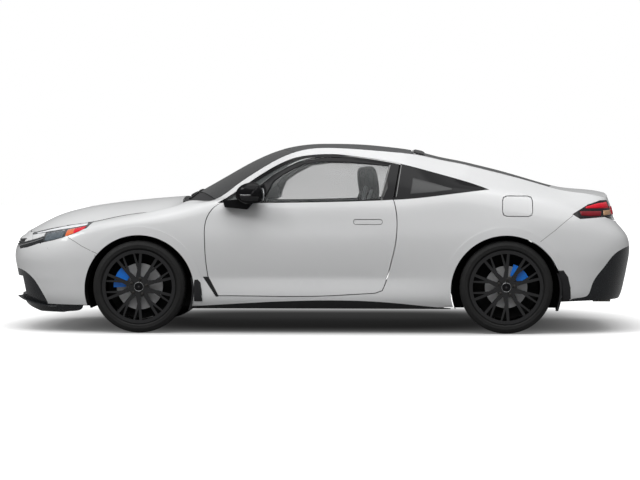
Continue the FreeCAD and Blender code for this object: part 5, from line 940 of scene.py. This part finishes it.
# Channels as (place across, width, depth); seats as (piece, (x, z), half sizes, tilt, finish, channels).
SEAT_CHANNELS = ((-0.55, 0.05, 0.010), (0.55, 0.05, 0.010))
BENCH_CHANNELS = ((-0.4, 0.03, 0.010), (0.0, 0.04, 0.018), (0.4, 0.03, 0.010))
SEAT_ACROSS = 0.36
SEAT_PADS = (
    ("cushion", (0.04, 0.440), (0.25, 0.24, 0.085), -6, seat_cloth, SEAT_CHANNELS),
    ("back", (0.298, 0.735), (0.300, 0.238, 0.066), -77, seat_cloth, SEAT_CHANNELS),
    ("insert", (0.338, 0.975), (0.075, 0.241, 0.016), -80, seat_insert, ()),
    ("bolster", (0.374, 0.965), (0.060, 0.241, 0.013), -70, seat_insert, ()),
    ("head", (0.356, 1.058), (0.132, 0.150, 0.060), -98, seat_cloth, ()),
)
for label, side in (("driver", -1), ("passenger", 1)):
    for piece, (x, z), half, tilt, finish, channels in SEAT_PADS:
        pad("seat_%s_%s" % (label, piece), (x, side * SEAT_ACROSS, z), half, math.radians(tilt), finish,
            channels)
pad("bench_cushion", (0.73, 0, 0.420), (0.20, 0.52, 0.075), math.radians(-8), seat_cloth, BENCH_CHANNELS)
pad("bench_back", (0.985, 0, 0.665), (0.235, 0.52, 0.055), math.radians(-72), seat_cloth, BENCH_CHANNELS)


# Stage, lamps and camera.
FLOOR_HALF = 60.0
FLOOR_CORNERS = ((-1, -1), (1, -1), (1, 1), (-1, 1))
floor_mesh = bpy.data.meshes.new("floor")
floor_mesh.from_pydata([(x * FLOOR_HALF, y * FLOOR_HALF, 0) for x, y in FLOOR_CORNERS], [], [(0, 1, 2, 3)])
floor = bpy.data.objects.new("floor", floor_mesh)
bpy.context.scene.collection.objects.link(floor)
FLOOR_BOUNCE = (0.26, 0.26, 0.26, 1)
FLOOR_GLOW = (0.28, 0.28, 0.28, 1)
SHADE_TONE = (0.012, 0.012, 0.012, 1)
SHADE_MIDDLE = (0.02, 0.65, 0.0)
SHADE_REACH = (0.40, 0.52, 0.0)
SHADE_CORE = 0.15


def shade_group():
    """Soft shade under the car and behind it, seen from its left side, as a mask."""
    group, entry, leave = shader_group("floor_shade", [("Edge", "Float", 1.15)], [("Mask", "Float")])
    place = group.nodes.new("ShaderNodeTexCoord")
    offset = group.nodes.new("ShaderNodeVectorMath")
    offset.operation = "SUBTRACT"
    offset.inputs[1].default_value = SHADE_MIDDLE
    scaled = group.nodes.new("ShaderNodeVectorMath")
    scaled.operation = "MULTIPLY"
    scaled.inputs[1].default_value = SHADE_REACH
    bent = group.nodes.new("ShaderNodeVectorMath")
    bent.operation = "MULTIPLY"
    length = group.nodes.new("ShaderNodeVectorMath")
    length.operation = "LENGTH"
    fade = group.nodes.new("ShaderNodeMapRange")
    fade.interpolation_type = "SMOOTHSTEP"
    fade.inputs["From Min"].default_value = SHADE_CORE
    fade.inputs["To Min"].default_value = 1.0
    fade.inputs["To Max"].default_value = 0.0
    group.links.new(place.outputs["Object"], offset.inputs[0])
    group.links.new(offset.outputs["Vector"], scaled.inputs[0])
    group.links.new(scaled.outputs["Vector"], bent.inputs[0])
    group.links.new(scaled.outputs["Vector"], bent.inputs[1])
    group.links.new(bent.outputs["Vector"], length.inputs[0])
    group.links.new(length.outputs["Value"], fade.inputs["Value"])
    group.links.new(entry.outputs["Edge"], fade.inputs["From Max"])
    group.links.new(fade.outputs["Result"], leave.inputs["Mask"])
    return group


floor_finish = Finish("studio_floor", Specular_IOR_Level=0.1)
floor_finish.tones(0.5, (0.95, 0.95, 0.95), (0.97, 0.97, 0.97)).roughness(2.0, 0.75, 0.85)
floor_tone = floor_finish.shader.inputs["Base Color"].links[0].from_socket
seen_floor = floor_finish.nodes.new("ShaderNodeLightPath")
shade = floor_finish.group(shade_group())


def seen_as(socket, unseen, tone):
    """Floor's colour for camera rays, darkened in the shade, and another for what it throws on the car."""
    dimmed = floor_finish.nodes.new("ShaderNodeMix")
    dimmed.data_type = "RGBA"
    dimmed.inputs["B"].default_value = SHADE_TONE
    floor_finish.links.new(shade.outputs["Mask"], dimmed.inputs["Factor"])
    if isinstance(tone, tuple):
        dimmed.inputs["A"].default_value = tone
    else:
        floor_finish.links.new(tone, dimmed.inputs["A"])
    mix = floor_finish.nodes.new("ShaderNodeMix")
    mix.data_type = "RGBA"
    mix.inputs["A"].default_value = unseen
    floor_finish.links.new(seen_floor.outputs["Is Camera Ray"], mix.inputs["Factor"])
    floor_finish.links.new(dimmed.outputs["Result"], mix.inputs["B"])
    floor_finish.links.new(mix.outputs["Result"], floor_finish.shader.inputs[socket])


seen_as("Base Color", FLOOR_BOUNCE, floor_tone)
seen_as("Emission Color", (0, 0, 0, 1), FLOOR_GLOW)
floor_finish.shader.inputs["Emission Strength"].default_value = 1.0
floor_mesh.materials.append(floor_finish.material)


def lamp(name, strength, spread, azimuth, elevation):
    """Sun from a direction, its spread in degrees setting how soft its shadows are."""
    data = bpy.data.lights.new(name, "SUN")
    data.energy = strength
    data.angle = math.radians(spread)
    made = bpy.data.objects.new(name, data)
    a, e = math.radians(azimuth), math.radians(elevation)
    away = Vector((math.sin(a) * math.cos(e), -math.cos(a) * math.cos(e), math.sin(e)))
    made.rotation_mode = "QUATERNION"
    made.rotation_quaternion = away.to_track_quat("Z", "Y")
    bpy.context.scene.collection.objects.link(made)


lamp("overhead", strength=1.50, spread=55, azimuth=0, elevation=60)
lamp("key", strength=0.60, spread=15, azimuth=-55, elevation=40)
lamp("zenith", strength=0.45, spread=40, azimuth=0, elevation=89)

# The sky is white to the camera. To other rays it is dim at the horizon and brighter towards the top.
HORIZON_END = 0.05
HORIZON_LEVEL = 0.14
DOME_LEVEL = 0.65

world = bpy.data.worlds.new("studio")
bpy.context.scene.world = world
world.use_nodes = True
sky = world.node_tree.nodes
sky_links = world.node_tree.links
background = sky["Background"]
path = sky.new("ShaderNodeLightPath")
seen = sky.new("ShaderNodeMath")
seen.operation = "MAXIMUM"
sky_links.new(path.outputs["Is Camera Ray"], seen.inputs[0])
sky_links.new(path.outputs["Is Transmission Ray"], seen.inputs[1])
place = sky.new("ShaderNodeTexCoord")
height = sky.new("ShaderNodeSeparateXYZ")
dome = sky.new("ShaderNodeMapRange")
dome.inputs["From Min"].default_value = HORIZON_END
dome.inputs["To Min"].default_value = HORIZON_LEVEL
dome.inputs["To Max"].default_value = DOME_LEVEL
level = sky.new("ShaderNodeMix")
level.inputs["B"].default_value = 1.0
sky_links.new(place.outputs["Generated"], height.inputs["Vector"])
sky_links.new(height.outputs["Z"], dome.inputs["Value"])
sky_links.new(dome.outputs["Result"], level.inputs["A"])
sky_links.new(seen.outputs["Value"], level.inputs["Factor"])
sky_links.new(level.outputs["Result"], background.inputs["Strength"])
background.inputs["Color"].default_value = (1, 1, 1, 1)

CAMERA_PLACE = (0.7769, -17.0, 1.14)
CAMERA_LENS = 128.04
CAMERA_SENSOR = 36.0
CAMERA_YAW = -2.6396
CAMERA_PITCH = -1.6922
CAMERA_REACH = 200
camera_data = bpy.data.cameras.new("camera")
camera_data.sensor_width = CAMERA_SENSOR
camera_data.lens = CAMERA_LENS
camera = bpy.data.objects.new("camera", camera_data)
camera.location = CAMERA_PLACE
yaw, pitch = math.radians(CAMERA_YAW), math.radians(CAMERA_PITCH)
ahead = Vector((math.sin(yaw) * math.cos(pitch), math.cos(yaw) * math.cos(pitch), math.sin(pitch)))
camera.rotation_mode = "QUATERNION"
camera.rotation_quaternion = ahead.to_track_quat("-Z", "Y")
camera_data.clip_end = CAMERA_REACH
bpy.context.scene.collection.objects.link(camera)
bpy.context.scene.camera = camera
bpy.context.scene.view_settings.view_transform = "Standard"
